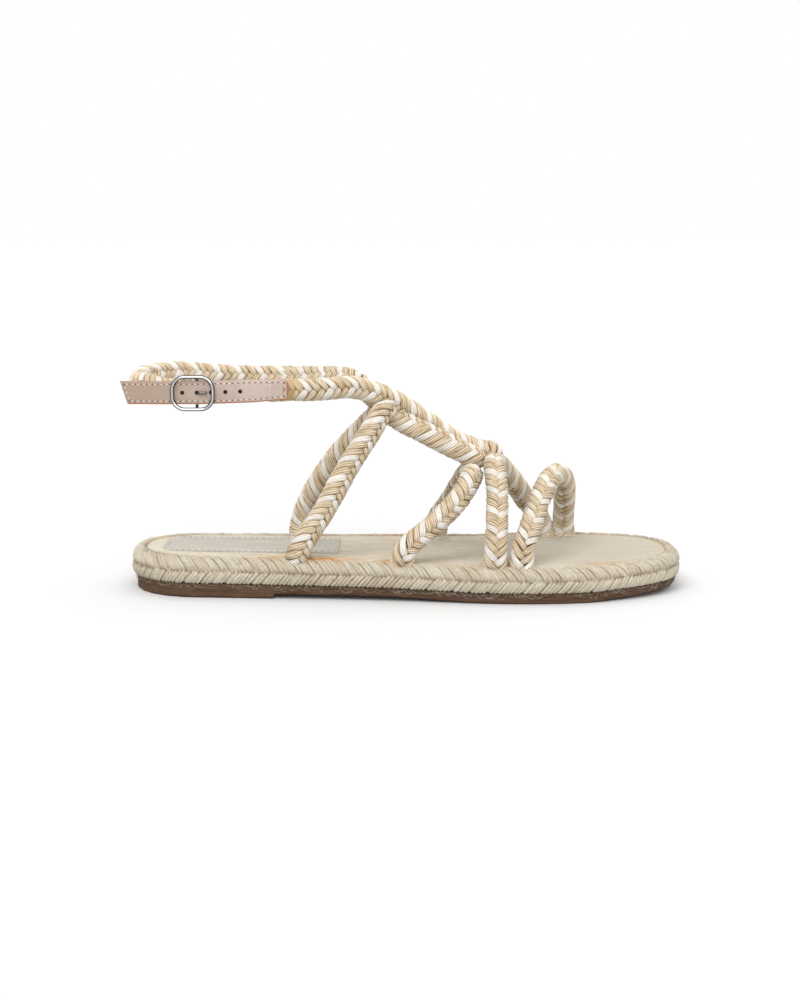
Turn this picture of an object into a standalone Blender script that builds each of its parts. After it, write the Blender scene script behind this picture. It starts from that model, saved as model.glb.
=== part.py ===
"""Rope sandal, right shoe: braided cord upper, jute-wrapped midsole and buckled leather ankle strap.

Sizes are in millimetres and are scaled to metres where a mesh is made. +X runs to the toe, +Y to the
medial side, +Z up. The origin is on the floor, under the middle of the shoe.
"""

import math

import bmesh
import bpy
import numpy as np
from mathutils import Vector

MM = 0.001
GAP = 0.3

# Last and sole: the shoe is a EU 39, about 258 mm over the jute.
HEEL_X = -129.0
TOE_X = 129.0
HEEL_CAP = 34.0
TOE_CAP = 46.0
HEEL_ROUNDNESS = 2.1
TOE_ROUNDNESS = 2.4
OUTLINE_COLUMNS = ("x", "lateral", "medial")
OUTLINE = (
    (-129.0, 31.5, 31.0),
    (-95.0, 32.5, 31.5),
    (-61.0, 35.0, 33.0),
    (-30.0, 37.5, 34.0),
    (0.0, 41.0, 36.5),
    (30.0, 45.0, 41.5),
    (60.0, 46.5, 46.0),
    (84.0, 43.5, 45.5),
    (100.0, 38.5, 42.0),
    (129.0, 34.0, 42.0),
)
HEIGHT_COLUMNS = ("x", "bottom", "rubber_top", "footbed")
HEIGHTS = (
    (-129.0, 2.0, 6.9, 19.6),
    (-61.0, 2.0, 6.6, 18.6),
    (-5.0, 2.0, 6.2, 17.8),
    (34.0, 0.0, 5.0, 16.6),
    (84.0, 0.0, 5.0, 16.9),
    (129.0, 2.6, 6.6, 18.2),
)
HEEL_BLOCK_END = -61.0
HEEL_BLOCK_SLOPE = 0.9
FOREFOOT_FLAT = (34.0, 84.0)
RUBBER_INSET = 2.2
RUBBER_BEVEL = 0.8
RIM_WIDTH = 7.0
INSOLE_THICKNESS = 1.7
JUTE_PITCH = 5.6
JUTE_SLANT = 2.4
JUTE_RIDGE = 0.45

# Label under the heel.
PATCH_X = (-113.5, -31.5)
PATCH_HALF_WIDTH = 17.0
PATCH_CORNER = 9.0
PATCH_THICKNESS = 0.5

# Braided cord of the upper.
CORD_SIDES = 8
CORD_RIDGE = 5.35
CORD_GROOVE = 4.75
STRAND_PITCH = 5.6
SEAM_RISE = 8.0
END_FADE = 14.0
END_THIN = 0.46
END_THIN_LENGTH = 22.0

# Leather ankle strap and its buckle.
TONGUE_X = (-129.4, -53.4)
TONGUE_Y = -24.0
TONGUE_BOW = 1.2
TONGUE_THICKNESS = 1.8
TONGUE_HEIGHT = 10.4
TONGUE_SKEW = 3.3
HOLE_X = (-101.2, -94.6, -88.2, -81.7, -75.0)
HOLE_RADIUS = 0.95
PRONG_HOLE = 1
BUCKLE_CENTRE = (-96.4, 93.8)
BUCKLE_LENGTH = 20.0
BUCKLE_HEIGHT = 16.4
BUCKLE_CORNER = 5.6
WIRE_RADIUS = 0.85
BAR_RADIUS = 0.75
PRONG_RADIUS = 0.6
PRONG_TIP_X = -89.8
FOLD_THICKNESS = 1.0
FOLD_HEIGHT = 9.6
FOLD_SLOT = 1.6


def table_value(rows, column, x):
    """Reads a table's column at x along a smooth curve through its rows."""
    xs = [row[0] for row in rows]
    ys = [row[column] for row in rows]
    x = min(max(x, xs[0]), xs[-1])
    i = min(max(np.searchsorted(xs, x) - 1, 0), len(xs) - 2)
    t = (x - xs[i]) / (xs[i + 1] - xs[i])
    slopes = np.gradient(ys, xs)
    step = xs[i + 1] - xs[i]
    h00 = 2 * t**3 - 3 * t**2 + 1
    h10 = t**3 - 2 * t**2 + t
    h01 = 3 * t**2 - 2 * t**3
    h11 = t**3 - t**2
    return h00 * ys[i] + h10 * step * slopes[i] + h01 * ys[i + 1] + h11 * step * slopes[i + 1]


def height(column, x):
    """Height of the sole's bottom, rubber edge or footbed at x, straight between the rows."""
    rows = np.array(HEIGHTS)
    return float(np.interp(x, rows[:, 0], rows[:, HEIGHT_COLUMNS.index(column)]))


def outline_y(side, x):
    """Half width of the jute wall at x on one side, rounded off at heel and toe."""
    base = table_value(OUTLINE, OUTLINE_COLUMNS.index(side), x)
    if x < HEEL_X + HEEL_CAP:
        along, power = (HEEL_X + HEEL_CAP - x) / HEEL_CAP, HEEL_ROUNDNESS
    elif x > TOE_X - TOE_CAP:
        along, power = (x - TOE_X + TOE_CAP) / TOE_CAP, TOE_ROUNDNESS
    else:
        return base
    return base * max(0.0, 1 - along**power) ** (1 / power)


def sole_stations(step, extra=()):
    """Stations from heel to toe, spaced evenly along the lateral outline."""
    fine = (1 - np.cos(np.linspace(0, math.pi, 1200))) / 2 * (TOE_X - HEEL_X) + HEEL_X
    edge = np.array([(x, outline_y("lateral", x)) for x in fine])
    run = np.concatenate(([0], np.cumsum(np.linalg.norm(np.diff(edge, axis=0), axis=1))))
    count = 2 * round(run[-1] / step / 2)
    xs = list(np.interp(np.linspace(0, run[-1], count + 1), run, fine))
    clear = [x for x in xs if all(abs(x - e) > 0.6 for e in extra)]
    return sorted(clear + list(extra))


def outline_loop(stations):
    """Outline points and inward normals, from the heel along the lateral side to the toe and back."""
    points = [(HEEL_X, 0.0)]
    points += [(x, -outline_y("lateral", x)) for x in stations[1:-1]]
    points += [(TOE_X, 0.0)]
    points += [(x, outline_y("medial", x)) for x in reversed(stations[1:-1])]
    points = np.array(points)
    tangent = np.roll(points, -1, 0) - np.roll(points, 1, 0)
    tangent /= np.linalg.norm(tangent, axis=1)[:, None]
    inward = np.stack((-tangent[:, 1], tangent[:, 0]), 1)
    return points, tangent, inward


def new_object(name, verts, faces, material=None, smooth=35):
    """Makes a closed mesh object from points in millimetres."""
    mesh = bpy.data.meshes.new(name)
    mesh.from_pydata([Vector(v) * MM for v in verts], [], faces)
    mesh.validate()
    shape = bmesh.new()
    shape.from_mesh(mesh)
    bmesh.ops.recalc_face_normals(shape, faces=shape.faces)
    shape.to_mesh(mesh)
    shape.free()
    mesh.shade_smooth()
    mesh.set_sharp_from_angle(angle=math.radians(smooth))
    obj = bpy.data.objects.new(name, mesh)
    bpy.context.scene.collection.objects.link(obj)
    if material:
        mesh.materials.append(material)
    return obj


def finish(name, colour, roughness, metallic=0.0):
    """A plain material for one sub-part."""
    material = bpy.data.materials.new(name)
    material.use_nodes = True
    shader = material.node_tree.nodes["Principled BSDF"]
    shader.inputs["Base Color"].default_value = (*colour, 1)
    shader.inputs["Roughness"].default_value = roughness
    shader.inputs["Metallic"].default_value = metallic
    return material


def sole_solid(name, layers, stations, material):
    """Lofts stacked outline loops, each (inset, height function, shift function), and caps both ends."""
    points, tangent, inward = outline_loop(stations)
    n = len(points)
    verts = []
    for inset, z_of, ridge, slant in layers:
        for i, (x, y) in enumerate(points):
            depth = inset - ridge * (1 if i % 2 else -1)
            toward_toe = 1 if tangent[i][0] > 0 else -1
            px, py = points[i] + inward[i] * depth + tangent[i] * slant * toward_toe
            verts.append((px, py, z_of(x)))
    faces = []
    for k in range(len(layers) - 1):
        for i in range(n):
            j = (i + 1) % n
            faces.append((k * n + i, k * n + j, (k + 1) * n + j, (k + 1) * n + i))
    for base in (0, (len(layers) - 1) * n):
        half = n // 2
        for i in range(half):
            quad = [base + i, base + i + 1, base + (n - i - 1) % n, base + (n - i) % n]
            faces.append(tuple(dict.fromkeys(quad)))
    return new_object(name, verts, faces, material)


def outsole(material):
    """Thin rubber sole with a low heel block under its back."""
    step = (HEEL_BLOCK_END, HEEL_BLOCK_END + HEEL_BLOCK_SLOPE)
    stations = sole_stations(9.0, (*step, *FOREFOOT_FLAT))

    def bottom(x):
        return 0.0 if x <= HEEL_BLOCK_END else height("bottom", x)

    layers = (
        (RUBBER_INSET + RUBBER_BEVEL, bottom, 0, 0),
        (RUBBER_INSET, lambda x: bottom(x) + RUBBER_BEVEL, 0, 0),
        (RUBBER_INSET - 0.3, lambda x: height("rubber_top", x), 0, 0),
    )
    return sole_solid("outsole", layers, stations, material)


def jute_midsole(material):
    """Jute body whose bulging wall is a flat braid: two rows of slanted strands that meet half way up."""

    def level(share):
        return lambda x: height("rubber_top", x) + GAP + share * (
            height("footbed", x) - height("rubber_top", x) - GAP
        )

    def below_footbed(drop):
        return lambda x: height("footbed", x) - drop

    stations = sole_stations(JUTE_PITCH / 2)
    layers = (
        (2.0, level(0.0), 0, -JUTE_SLANT),
        (0.35, level(0.22), JUTE_RIDGE, -JUTE_SLANT / 3),
        (0.75, level(0.45), JUTE_RIDGE / 2, JUTE_SLANT),
        (0.35, level(0.68), JUTE_RIDGE, 0.0),
        (2.3, level(0.93), JUTE_RIDGE, -JUTE_SLANT),
        (RIM_WIDTH - 1.6, below_footbed(0.0), 0, -JUTE_SLANT),
        (RIM_WIDTH, below_footbed(0.9), 0, 0),
        (RIM_WIDTH + 0.2, below_footbed(INSOLE_THICKNESS + GAP), 0, 0),
    )
    return sole_solid("jute_midsole", layers, stations, material)


def insole(material):
    """Linen-covered footbed that lies inside the rim."""
    edge = RIM_WIDTH + GAP
    layers = (
        (edge + 0.2, lambda x: height("footbed", x) - INSOLE_THICKNESS, 0, 0),
        (edge, lambda x: height("footbed", x) - 0.6, 0, 0),
        (edge + 1.2, lambda x: height("footbed", x), 0, 0),
    )
    return sole_solid("insole", layers, sole_stations(9.0), material)


def heel_patch(material):
    """Thin rounded linen label on the footbed under the heel."""
    x0, x1 = PATCH_X
    corner_steps = 5
    outline = []
    for cx, cy, start in (
        (x1, PATCH_HALF_WIDTH, 90),
        (x0, PATCH_HALF_WIDTH, 90),
        (x0, -PATCH_HALF_WIDTH, 180),
        (x1, -PATCH_HALF_WIDTH, 270),
    ):
        radius = PATCH_CORNER if cx == x0 else 1.5
        inner = (cx + radius if cx == x0 else cx - radius, math.copysign(PATCH_HALF_WIDTH - radius, cy))
        first = start if cx == x0 else (0 if cy > 0 else 270)
        for k in range(corner_steps + 1):
            angle = math.radians(first + 90 * k / corner_steps)
            outline.append((inner[0] + radius * math.cos(angle), inner[1] + radius * math.sin(angle)))
    n = len(outline)
    verts = []
    for lift in (GAP, GAP + PATCH_THICKNESS):
        verts += [(x, y, height("footbed", x) + lift) for x, y in outline]
    faces = [tuple(range(n)), tuple(range(n, 2 * n))]
    faces += [(i, (i + 1) % n, n + (i + 1) % n, n + i) for i in range(n)]
    return new_object("heel_patch", verts, faces, material)


# Routes of the braided cords: points chosen along each strap, as (x, y, z).
ANKLE_LATERAL = (
    (-66.0, -20.0, 94.2),
    (-59.0, -19.1, 94.3),
    (-52.8, -18.2, 94.4),
    (-44.7, -18.8, 94.4),
    (-36.5, -17.5, 94.8),
    (-25.0, -13.6, 95.0),
    (-15.6, -10.2, 92.6),
    (-7.4, -7.0, 88.8),
    (-0.4, -3.2, 84.3),
    (8.9, 1.5, 77.6),
    (20.7, 4.2, 69.4),
    (30.2, 5.0, 64.8),
    (37.2, 3.0, 63.2),
    (41.3, 0.5, 62.8),
)
ANKLE_MEDIAL = (
    (-101.0, -19.2, 94.2),
    (-108.0, -17.4, 94.5),
    (-115.0, -13.6, 95.2),
    (-120.6, -7.8, 96.2),
    (-123.6, 0.0, 97.3),
    (-121.4, 10.0, 98.2),
    (-114.5, 18.2, 98.6),
    (-103.0, 22.3, 98.2),
    (-84.1, 23.0, 96.8),
    (-55.2, 20.6, 96.5),
    (-38.3, 14.8, 97.1),
    (-28.6, 8.2, 97.3),
    (-22.4, 2.2, 95.4),
    (-15.8, -1.8, 89.9),
    (-9.7, -4.2, 84.0),
    (-2.8, -5.6, 79.0),
    (8.9, -6.6, 73.0),
    (20.5, -6.6, 67.0),
    (31.0, -6.0, 61.8),
    (37.5, -4.6, 58.9),
)
REAR_STRAP = (
    (-48.4, -33.0, 18.2),
    (-47.6, -33.0, 26.0),
    (-38.6, -27.4, 41.2),
    (-28.6, -21.6, 58.3),
    (-17.0, -16.4, 75.1),
    (-11.6, -12.6, 82.6),
    (-8.0, -6.2, 86.6),
    (-8.4, 0.8, 86.4),
    (-12.2, 7.0, 82.1),
    (-18.9, 12.0, 74.8),
    (-29.0, 17.0, 63.6),
    (-38.9, 21.0, 50.4),
    (-47.4, 24.6, 35.6),
    (-50.6, 25.6, 26.0),
    (-51.0, 25.8, 18.2),
)
MIDDLE_STRAP = (
    (-1.6, -36.8, 17.4),
    (0.2, -36.2, 24.0),
    (13.0, -31.0, 34.5),
    (23.8, -25.0, 44.6),
    (29.3, -17.6, 52.0),
    (30.6, -9.0, 54.2),
    (29.4, 0.0, 53.4),
    (26.6, 12.0, 47.0),
    (21.4, 20.4, 36.4),
    (16.2, 27.0, 27.4),
    (14.4, 29.4, 17.2),
)
FRONT_STRAP = (
    (40.0, -41.0, 16.4),
    (40.6, -39.4, 25.6),
    (41.2, -33.0, 36.4),
    (41.6, -24.0, 49.0),
    (41.0, -13.6, 57.6),
    (41.2, -3.4, 58.6),
    (43.2, 5.4, 56.8),
    (46.9, 13.4, 52.4),
    (51.8, 20.4, 46.0),
    (58.1, 28.4, 36.2),
    (65.4, 35.6, 26.2),
    (68.8, 38.2, 16.4),
)
TOE_STRAP = (
    (51.9, -40.8, 16.4),
    (52.9, -39.2, 25.0),
    (57.3, -31.4, 36.0),
    (62.8, -20.0, 47.0),
    (67.6, -8.4, 52.2),
    (71.9, 2.0, 52.4),
    (75.5, 13.0, 47.3),
    (76.9, 24.0, 37.7),
    (77.4, 33.6, 27.1),
    (77.6, 37.6, 16.4),
)


def smooth_line(points, step):
    """Points at even steps along a centripetal Catmull-Rom curve through the route."""
    route = [np.array(p, float) for p in points]
    route = [2 * route[0] - route[1], *route, 2 * route[-1] - route[-2]]
    fine = []
    for a, b, c, d in zip(route, route[1:], route[2:], route[3:]):
        t1 = np.linalg.norm(b - a) ** 0.5
        t2 = t1 + np.linalg.norm(c - b) ** 0.5
        t3 = t2 + np.linalg.norm(d - c) ** 0.5
        for t in np.linspace(t1, t2, 12, endpoint=False):
            ab = (t1 - t) / t1 * a + t / t1 * b
            bc = (t2 - t) / (t2 - t1) * b + (t - t1) / (t2 - t1) * c
            cd = (t3 - t) / (t3 - t2) * c + (t - t2) / (t3 - t2) * d
            abc = (t2 - t) / t2 * ab + t / t2 * bc
            bcd = (t3 - t) / (t3 - t1) * bc + (t - t1) / (t3 - t1) * cd
            fine.append((t2 - t) / (t2 - t1) * abc + (t - t1) / (t2 - t1) * bcd)
    fine = np.array([*fine, route[-2]])
    run = np.concatenate(([0], np.cumsum(np.linalg.norm(np.diff(fine, axis=0), axis=1))))
    count = max(2, round(run[-1] / step))
    at = np.linspace(0, run[-1], count + 1)
    return np.stack([np.interp(at, run, fine[:, k]) for k in range(3)], 1)


def frames(line, face):
    """Tangent, face and side directions along a line, carried without twist from the first face direction."""
    tangent = np.gradient(line, axis=0)
    tangent /= np.linalg.norm(tangent, axis=1)[:, None]
    normals = []
    normal = np.array(face, float)
    for t in tangent:
        normal = normal - t * normal.dot(t)
        normal /= np.linalg.norm(normal)
        normals.append(normal)
    normals = np.array(normals)
    return tangent, normals, np.cross(tangent, normals)


def swept(name, line, ring_at, sides, face, material=None, seat=None):
    """Sweeps a ring along a line. ring_at(k, angle) gives the radii across face and side and the slide along.

    seat(x) is the lowest that a point may reach, so that an end stands flat on what carries it.
    """
    tangent, normals, sideways = frames(line, face)
    count = len(line)
    verts = []
    for k in range(count):
        for j in range(sides):
            angle = 2 * math.pi * j / sides
            across, beside, slide = ring_at(k, angle)
            at = min(max(k + slide, 0), count - 1)
            low = min(int(at), count - 2)
            share = at - low
            centre = line[low] * (1 - share) + line[low + 1] * share
            normal = normals[low] * (1 - share) + normals[low + 1] * share
            side = sideways[low] * (1 - share) + sideways[low + 1] * share
            point = centre + normal * math.cos(angle) * across + side * math.sin(angle) * beside
            if seat:
                point[2] = max(point[2], seat(point[0]))
            verts.append(point)
    faces = [tuple(range(sides)), tuple(range((count - 1) * sides, count * sides))]
    for k in range(count - 1):
        for j in range(sides):
            n = (j + 1) % sides
            faces.append((k * sides + j, k * sides + n, (k + 1) * sides + n, (k + 1) * sides + j))
    return new_object(name, verts, faces, material)


def braided_cord(name, route, face, thin_start=False):
    """Round cord with raised strands that climb from a front seam to a back seam."""
    step = STRAND_PITCH / 2
    line = smooth_line(route, step)
    length = (len(line) - 1) * step

    def ring_at(k, angle):
        run = k * step
        fade = min(1.0, run / END_FADE, (length - run) / END_FADE)
        raised = k % 2 and 0 < k < len(line) - 1
        radius = CORD_RIDGE if raised else CORD_GROOVE
        flat = 1.0
        if thin_start and run < END_THIN_LENGTH:
            flat = END_THIN + (1 - END_THIN) * run / END_THIN_LENGTH
        turn = abs((angle + math.pi) % (2 * math.pi) - math.pi) / math.pi
        return radius * flat, radius, fade * SEAM_RISE * (turn - 0.5) / step

    return swept(name, line, ring_at, CORD_SIDES, face, seat=lambda x: height("footbed", x) + GAP)


def union(base, others):
    """Joins hidden guide solids to a base solid."""
    for other in others:
        other.hide_render = True
        other.display_type = "WIRE"
        joined = base.modifiers.new("join " + other.name, "BOOLEAN")
        joined.operation = "UNION"
        joined.solver = "EXACT"
        joined.object = other


def upper(material):
    """All straps are one braided cord work, joined where they cross."""
    ankle = braided_cord("upper", ANKLE_LATERAL, (0, -1, 0), thin_start=True)
    ankle.data.materials.append(material)
    others = [
        braided_cord("guide_ankle_medial", ANKLE_MEDIAL, (0, -1, 0), thin_start=True),
        braided_cord("guide_rear_strap", REAR_STRAP, (0, -1, 0)),
        braided_cord("guide_middle_strap", MIDDLE_STRAP, (0, -1, 0)),
        braided_cord("guide_front_strap", FRONT_STRAP, (0, -1, 0)),
        braided_cord("guide_toe_strap", TOE_STRAP, (0, -1, 0)),
    ]
    union(ankle, others)
    return ankle


def tongue_y(x):
    """The leather strap bows a little outwards between its ends."""
    middle = sum(TONGUE_X) / 2
    half = (TONGUE_X[1] - TONGUE_X[0]) / 2
    return TONGUE_Y - TONGUE_BOW * (1 - ((x - middle) / half) ** 2)


def tongue_middle(x):
    """Height of the leather strap's middle line."""
    return float(np.interp(x, (-129.4, -90.0, -53.4), (93.8, 93.9, 95.2)))


def strap_tongue(material):
    """Leather strap end with five punched holes, sewn over the front cord and passed through the buckle."""
    x0, x1 = TONGUE_X
    rounding = 1.8
    xs = [*np.linspace(x0, x1 - rounding, 16), x1 - 0.5, x1]
    edge = 0.3
    verts = []
    for x in xs:
        half = np.interp(x, (x0, -70.0, x1), (TONGUE_HEIGHT, 10.4, 9.0)) / 2
        if x > x1 - rounding:
            half -= 0.5 if x < x1 else rounding
        skew = TONGUE_SKEW * max(0.0, 1 - (x - x0) / 20)
        y, z = tongue_y(x), tongue_middle(x)
        thick = TONGUE_THICKNESS / 2
        ring = (
            (-thick, half - edge),
            (-thick, edge - half),
            (edge - thick, -half),
            (thick - edge, -half),
            (thick, edge - half),
            (thick, half - edge),
            (thick - edge, half),
            (edge - thick, half),
        )
        verts += [(x + skew * (0.5 - dz / (2 * half)), y + dy, z + dz) for dy, dz in ring]
    sides = 8
    faces = [tuple(range(sides)), tuple(range((len(xs) - 1) * sides, len(xs) * sides))]
    for k in range(len(xs) - 1):
        for j in range(sides):
            n = (j + 1) % sides
            faces.append((k * sides + j, k * sides + n, (k + 1) * sides + n, (k + 1) * sides + j))
    tongue = new_object("strap_tongue", verts, faces, material)
    for number, x in enumerate(HOLE_X):
        bpy.ops.mesh.primitive_cylinder_add(
            vertices=16,
            radius=HOLE_RADIUS * MM,
            depth=8 * MM,
            location=(x * MM, tongue_y(x) * MM, tongue_middle(x) * MM),
            rotation=(math.pi / 2, 0, 0),
        )
        punch = bpy.context.object
        punch.name = f"guide_punch_{number + 1}"
        punch.hide_render = True
        punch.display_type = "WIRE"
        cut = tongue.modifiers.new(f"hole {number + 1}", "BOOLEAN")
        cut.operation = "DIFFERENCE"
        cut.solver = "EXACT"
        cut.object = punch
    return tongue


def bar_place():
    """Where the buckle's centre bar stands, behind the tongue at its prong hole."""
    x = HOLE_X[PRONG_HOLE] - 0.4
    inner_face = tongue_y(x) + TONGUE_THICKNESS / 2
    return x, inner_face + GAP + BAR_RADIUS + GAP + 2 * PRONG_RADIUS


def round_ring(radius):
    """A ring function for a plain round wire."""
    return lambda k, angle: (radius, radius, 0)


def buckle_frame(material):
    """Rounded rectangle of wire with a centre bar that steps back behind the tongue."""
    cx, cz = BUCKLE_CENTRE
    front_y = tongue_y(cx) - TONGUE_THICKNESS / 2 - GAP - WIRE_RADIUS
    half_x = BUCKLE_LENGTH / 2 - WIRE_RADIUS
    half_z = BUCKLE_HEIGHT / 2 - WIRE_RADIUS
    corner_steps = 5
    centre_line = []
    for sx, sz, start in ((1, 1, 0), (-1, 1, 90), (-1, -1, 180), (1, -1, 270)):
        for k in range(corner_steps + 1):
            angle = math.radians(start + 90 * k / corner_steps)
            x = cx + sx * (half_x - BUCKLE_CORNER) + BUCKLE_CORNER * math.cos(angle)
            z = cz + sz * (half_z - BUCKLE_CORNER) + BUCKLE_CORNER * math.sin(angle)
            centre_line.append(np.array((x, front_y, z)))
    sides = 10
    n = len(centre_line)
    verts = []
    for k in range(n):
        along = centre_line[(k + 1) % n] - centre_line[k - 1]
        along /= np.linalg.norm(along)
        out = np.cross(along, (0, 1, 0))
        for j in range(sides):
            angle = 2 * math.pi * j / sides
            verts.append(
                centre_line[k] + WIRE_RADIUS * (out * math.cos(angle) + np.array((0, math.sin(angle), 0)))
            )
    faces = []
    for k in range(n):
        for j in range(sides):
            m = (j + 1) % sides
            nk = (k + 1) % n
            faces.append((k * sides + j, k * sides + m, nk * sides + m, nk * sides + j))
    frame = new_object("buckle_frame", verts, faces, material)
    bar_x, bar_y = bar_place()
    bend = 1.4
    top = cz + half_z
    low = cz - half_z
    route = [(bar_x, front_y, top), (bar_x, bar_y - bend, top), (bar_x, bar_y, top - bend)]
    route += [(bar_x, bar_y, low + bend), (bar_x, bar_y - bend, low), (bar_x, front_y, low)]
    line = np.array(route, float)
    bar = swept("guide_bar", line, round_ring(BAR_RADIUS), 10, (1, 0, 0))
    union(frame, [bar])
    return frame


def buckle_prong(material):
    """Prong: a ring round the bar, and a pin through the hole that lies along the strap's face."""
    bar_x, bar_y = bar_place()
    z = tongue_middle(HOLE_X[PRONG_HOLE])
    ring_radius = BAR_RADIUS + GAP + PRONG_RADIUS
    steps = 16
    sides = 8
    verts = []
    for k in range(steps):
        turn = 2 * math.pi * k / steps
        out = np.array((math.cos(turn), math.sin(turn), 0))
        for j in range(sides):
            angle = 2 * math.pi * j / sides
            offset = out * math.cos(angle) + np.array((0, 0, math.sin(angle)))
            verts.append(np.array((bar_x, bar_y, z)) + out * ring_radius + offset * PRONG_RADIUS)
    faces = []
    for k in range(steps):
        for j in range(sides):
            m = (j + 1) % sides
            nk = (k + 1) % steps
            faces.append((k * sides + j, k * sides + m, nk * sides + m, nk * sides + j))
    prong = new_object("buckle_prong", verts, faces, material)
    hole_x = HOLE_X[PRONG_HOLE]
    face_y = tongue_y(hole_x) - TONGUE_THICKNESS / 2 - GAP - PRONG_RADIUS
    start = (bar_x, bar_y - ring_radius, z)
    route = (start, (hole_x - 0.1, face_y + 2.2, z), (hole_x + 0.1, face_y + 0.9, z))
    route += ((hole_x + 0.9, face_y - 0.1, z), (PRONG_TIP_X, face_y - 0.2, z))
    line = smooth_line(route, 0.8)
    last = len(line) - 1

    def ring_at(k, angle):
        radius = PRONG_RADIUS * (0.55 if k == last else 1.0)
        return radius, radius, 0

    pin = swept("guide_pin", line, ring_at, sides, (0, 0, 1))
    union(prong, [pin])
    return prong


def buckle_fold(material):
    """Short leather strap folded round the bar, slotted for the prong, with its tail sewn to the cord end."""
    bar_x, bar_y = bar_place()
    z = tongue_middle(bar_x)
    inner = BAR_RADIUS + GAP
    outer = inner + FOLD_THICKNESS
    tail = [(bar_x - 3.0, bar_y - outer + FOLD_THICKNESS / 2), (-104.0, -23.0), (-110.5, -22.3)]
    tail += [(-116.8, -20.3), (-121.4, -17.2)]
    steps = 10
    ring_out = []
    ring_in = []
    for k in range(steps + 1):
        turn = math.radians(-90 + 270 * k / steps)
        ring_out.append((bar_x + outer * math.cos(turn), bar_y + outer * math.sin(turn)))
        ring_in.append((bar_x + inner * math.cos(turn), bar_y + inner * math.sin(turn)))
    half = FOLD_THICKNESS / 2
    tail_out = []
    tail_in = []
    for k, point in enumerate(tail):
        before = tail[max(k - 1, 0)]
        after = tail[min(k + 1, len(tail) - 1)]
        along = Vector((after[0] - before[0], after[1] - before[1])).normalized()
        across = Vector((along.y, -along.x))
        tail_out.append((point[0] - across.x * half, point[1] - across.y * half))
        tail_in.append((point[0] + across.x * half, point[1] + across.y * half))
    profile = [*tail_out[::-1], *ring_out, *ring_in[::-1], *tail_in]
    n = len(profile)
    verts = [(x, y, z - FOLD_HEIGHT / 2) for x, y in profile]
    verts += [(x, y, z + FOLD_HEIGHT / 2) for x, y in profile]
    faces = [tuple(range(n)), tuple(range(n, 2 * n))]
    faces += [(i, (i + 1) % n, n + (i + 1) % n, n + i) for i in range(n)]
    fold = new_object("buckle_fold", verts, faces, material)
    bpy.ops.mesh.primitive_cube_add(
        size=1,
        location=(bar_x * MM, bar_y * MM, z * MM),
        scale=(7 * MM, 7 * MM, 2 * FOLD_SLOT * MM),
    )
    slot = bpy.context.object
    slot.name = "guide_slot"
    bpy.ops.object.transform_apply(location=False, rotation=False, scale=True)
    slot.hide_render = True
    slot.display_type = "WIRE"
    cut = fold.modifiers.new("prong slot", "BOOLEAN")
    cut.operation = "DIFFERENCE"
    cut.solver = "EXACT"
    cut.object = slot
    return fold


def build():
    """Empties the scene and makes the sandal."""
    for obj in list(bpy.data.objects):
        bpy.data.objects.remove(obj, do_unlink=True)
    rubber = finish("brown rubber", (0.07, 0.035, 0.025), 0.7)
    jute = finish("jute braid", (0.58, 0.47, 0.31), 0.9)
    linen = finish("linen footbed", (0.62, 0.54, 0.42), 0.9)
    label = finish("grey linen label", (0.55, 0.52, 0.48), 0.9)
    raffia = finish("raffia cord", (0.66, 0.49, 0.28), 0.7)
    leather = finish("blush leather", (0.60, 0.44, 0.37), 0.5)
    steel = finish("polished steel", (0.8, 0.8, 0.8), 0.15, 1.0)
    outsole(rubber)
    jute_midsole(jute)
    insole(linen)
    heel_patch(label)
    upper(raffia)
    strap_tongue(leather)
    buckle_fold(leather.copy())
    buckle_frame(steel)
    buckle_prong(steel.copy())


build()
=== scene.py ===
"""Looks of a right-foot rope sandal.

Braided raffia cords, a jute-wrapped sole, a blush leather strap and a steel buckle.
Sizes are in millimetres, as on the maker's card, and MM turns them into the frame's metres.
+X runs to the toe, +Y to the medial side, +Z up.
"""

import math

import bpy
import numpy as np
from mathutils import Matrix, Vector


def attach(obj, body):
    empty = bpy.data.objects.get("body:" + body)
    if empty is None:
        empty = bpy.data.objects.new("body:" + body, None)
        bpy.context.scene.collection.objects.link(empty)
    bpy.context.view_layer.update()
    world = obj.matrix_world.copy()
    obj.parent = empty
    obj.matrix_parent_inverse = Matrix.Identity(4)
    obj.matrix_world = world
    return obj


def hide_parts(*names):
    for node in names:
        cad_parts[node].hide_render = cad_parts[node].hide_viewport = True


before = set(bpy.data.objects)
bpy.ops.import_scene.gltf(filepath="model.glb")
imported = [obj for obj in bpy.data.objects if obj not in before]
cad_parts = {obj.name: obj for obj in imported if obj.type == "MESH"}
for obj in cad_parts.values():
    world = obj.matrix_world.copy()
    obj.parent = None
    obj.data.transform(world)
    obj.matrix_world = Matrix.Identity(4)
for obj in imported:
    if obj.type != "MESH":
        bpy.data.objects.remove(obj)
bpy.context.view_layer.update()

MM = 0.001
UPWARDS = (0.0, 0.0, 1.0)
OUTWARDS = (0.0, -1.0, 0.0)
seeded = np.random.default_rng(39)

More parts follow.
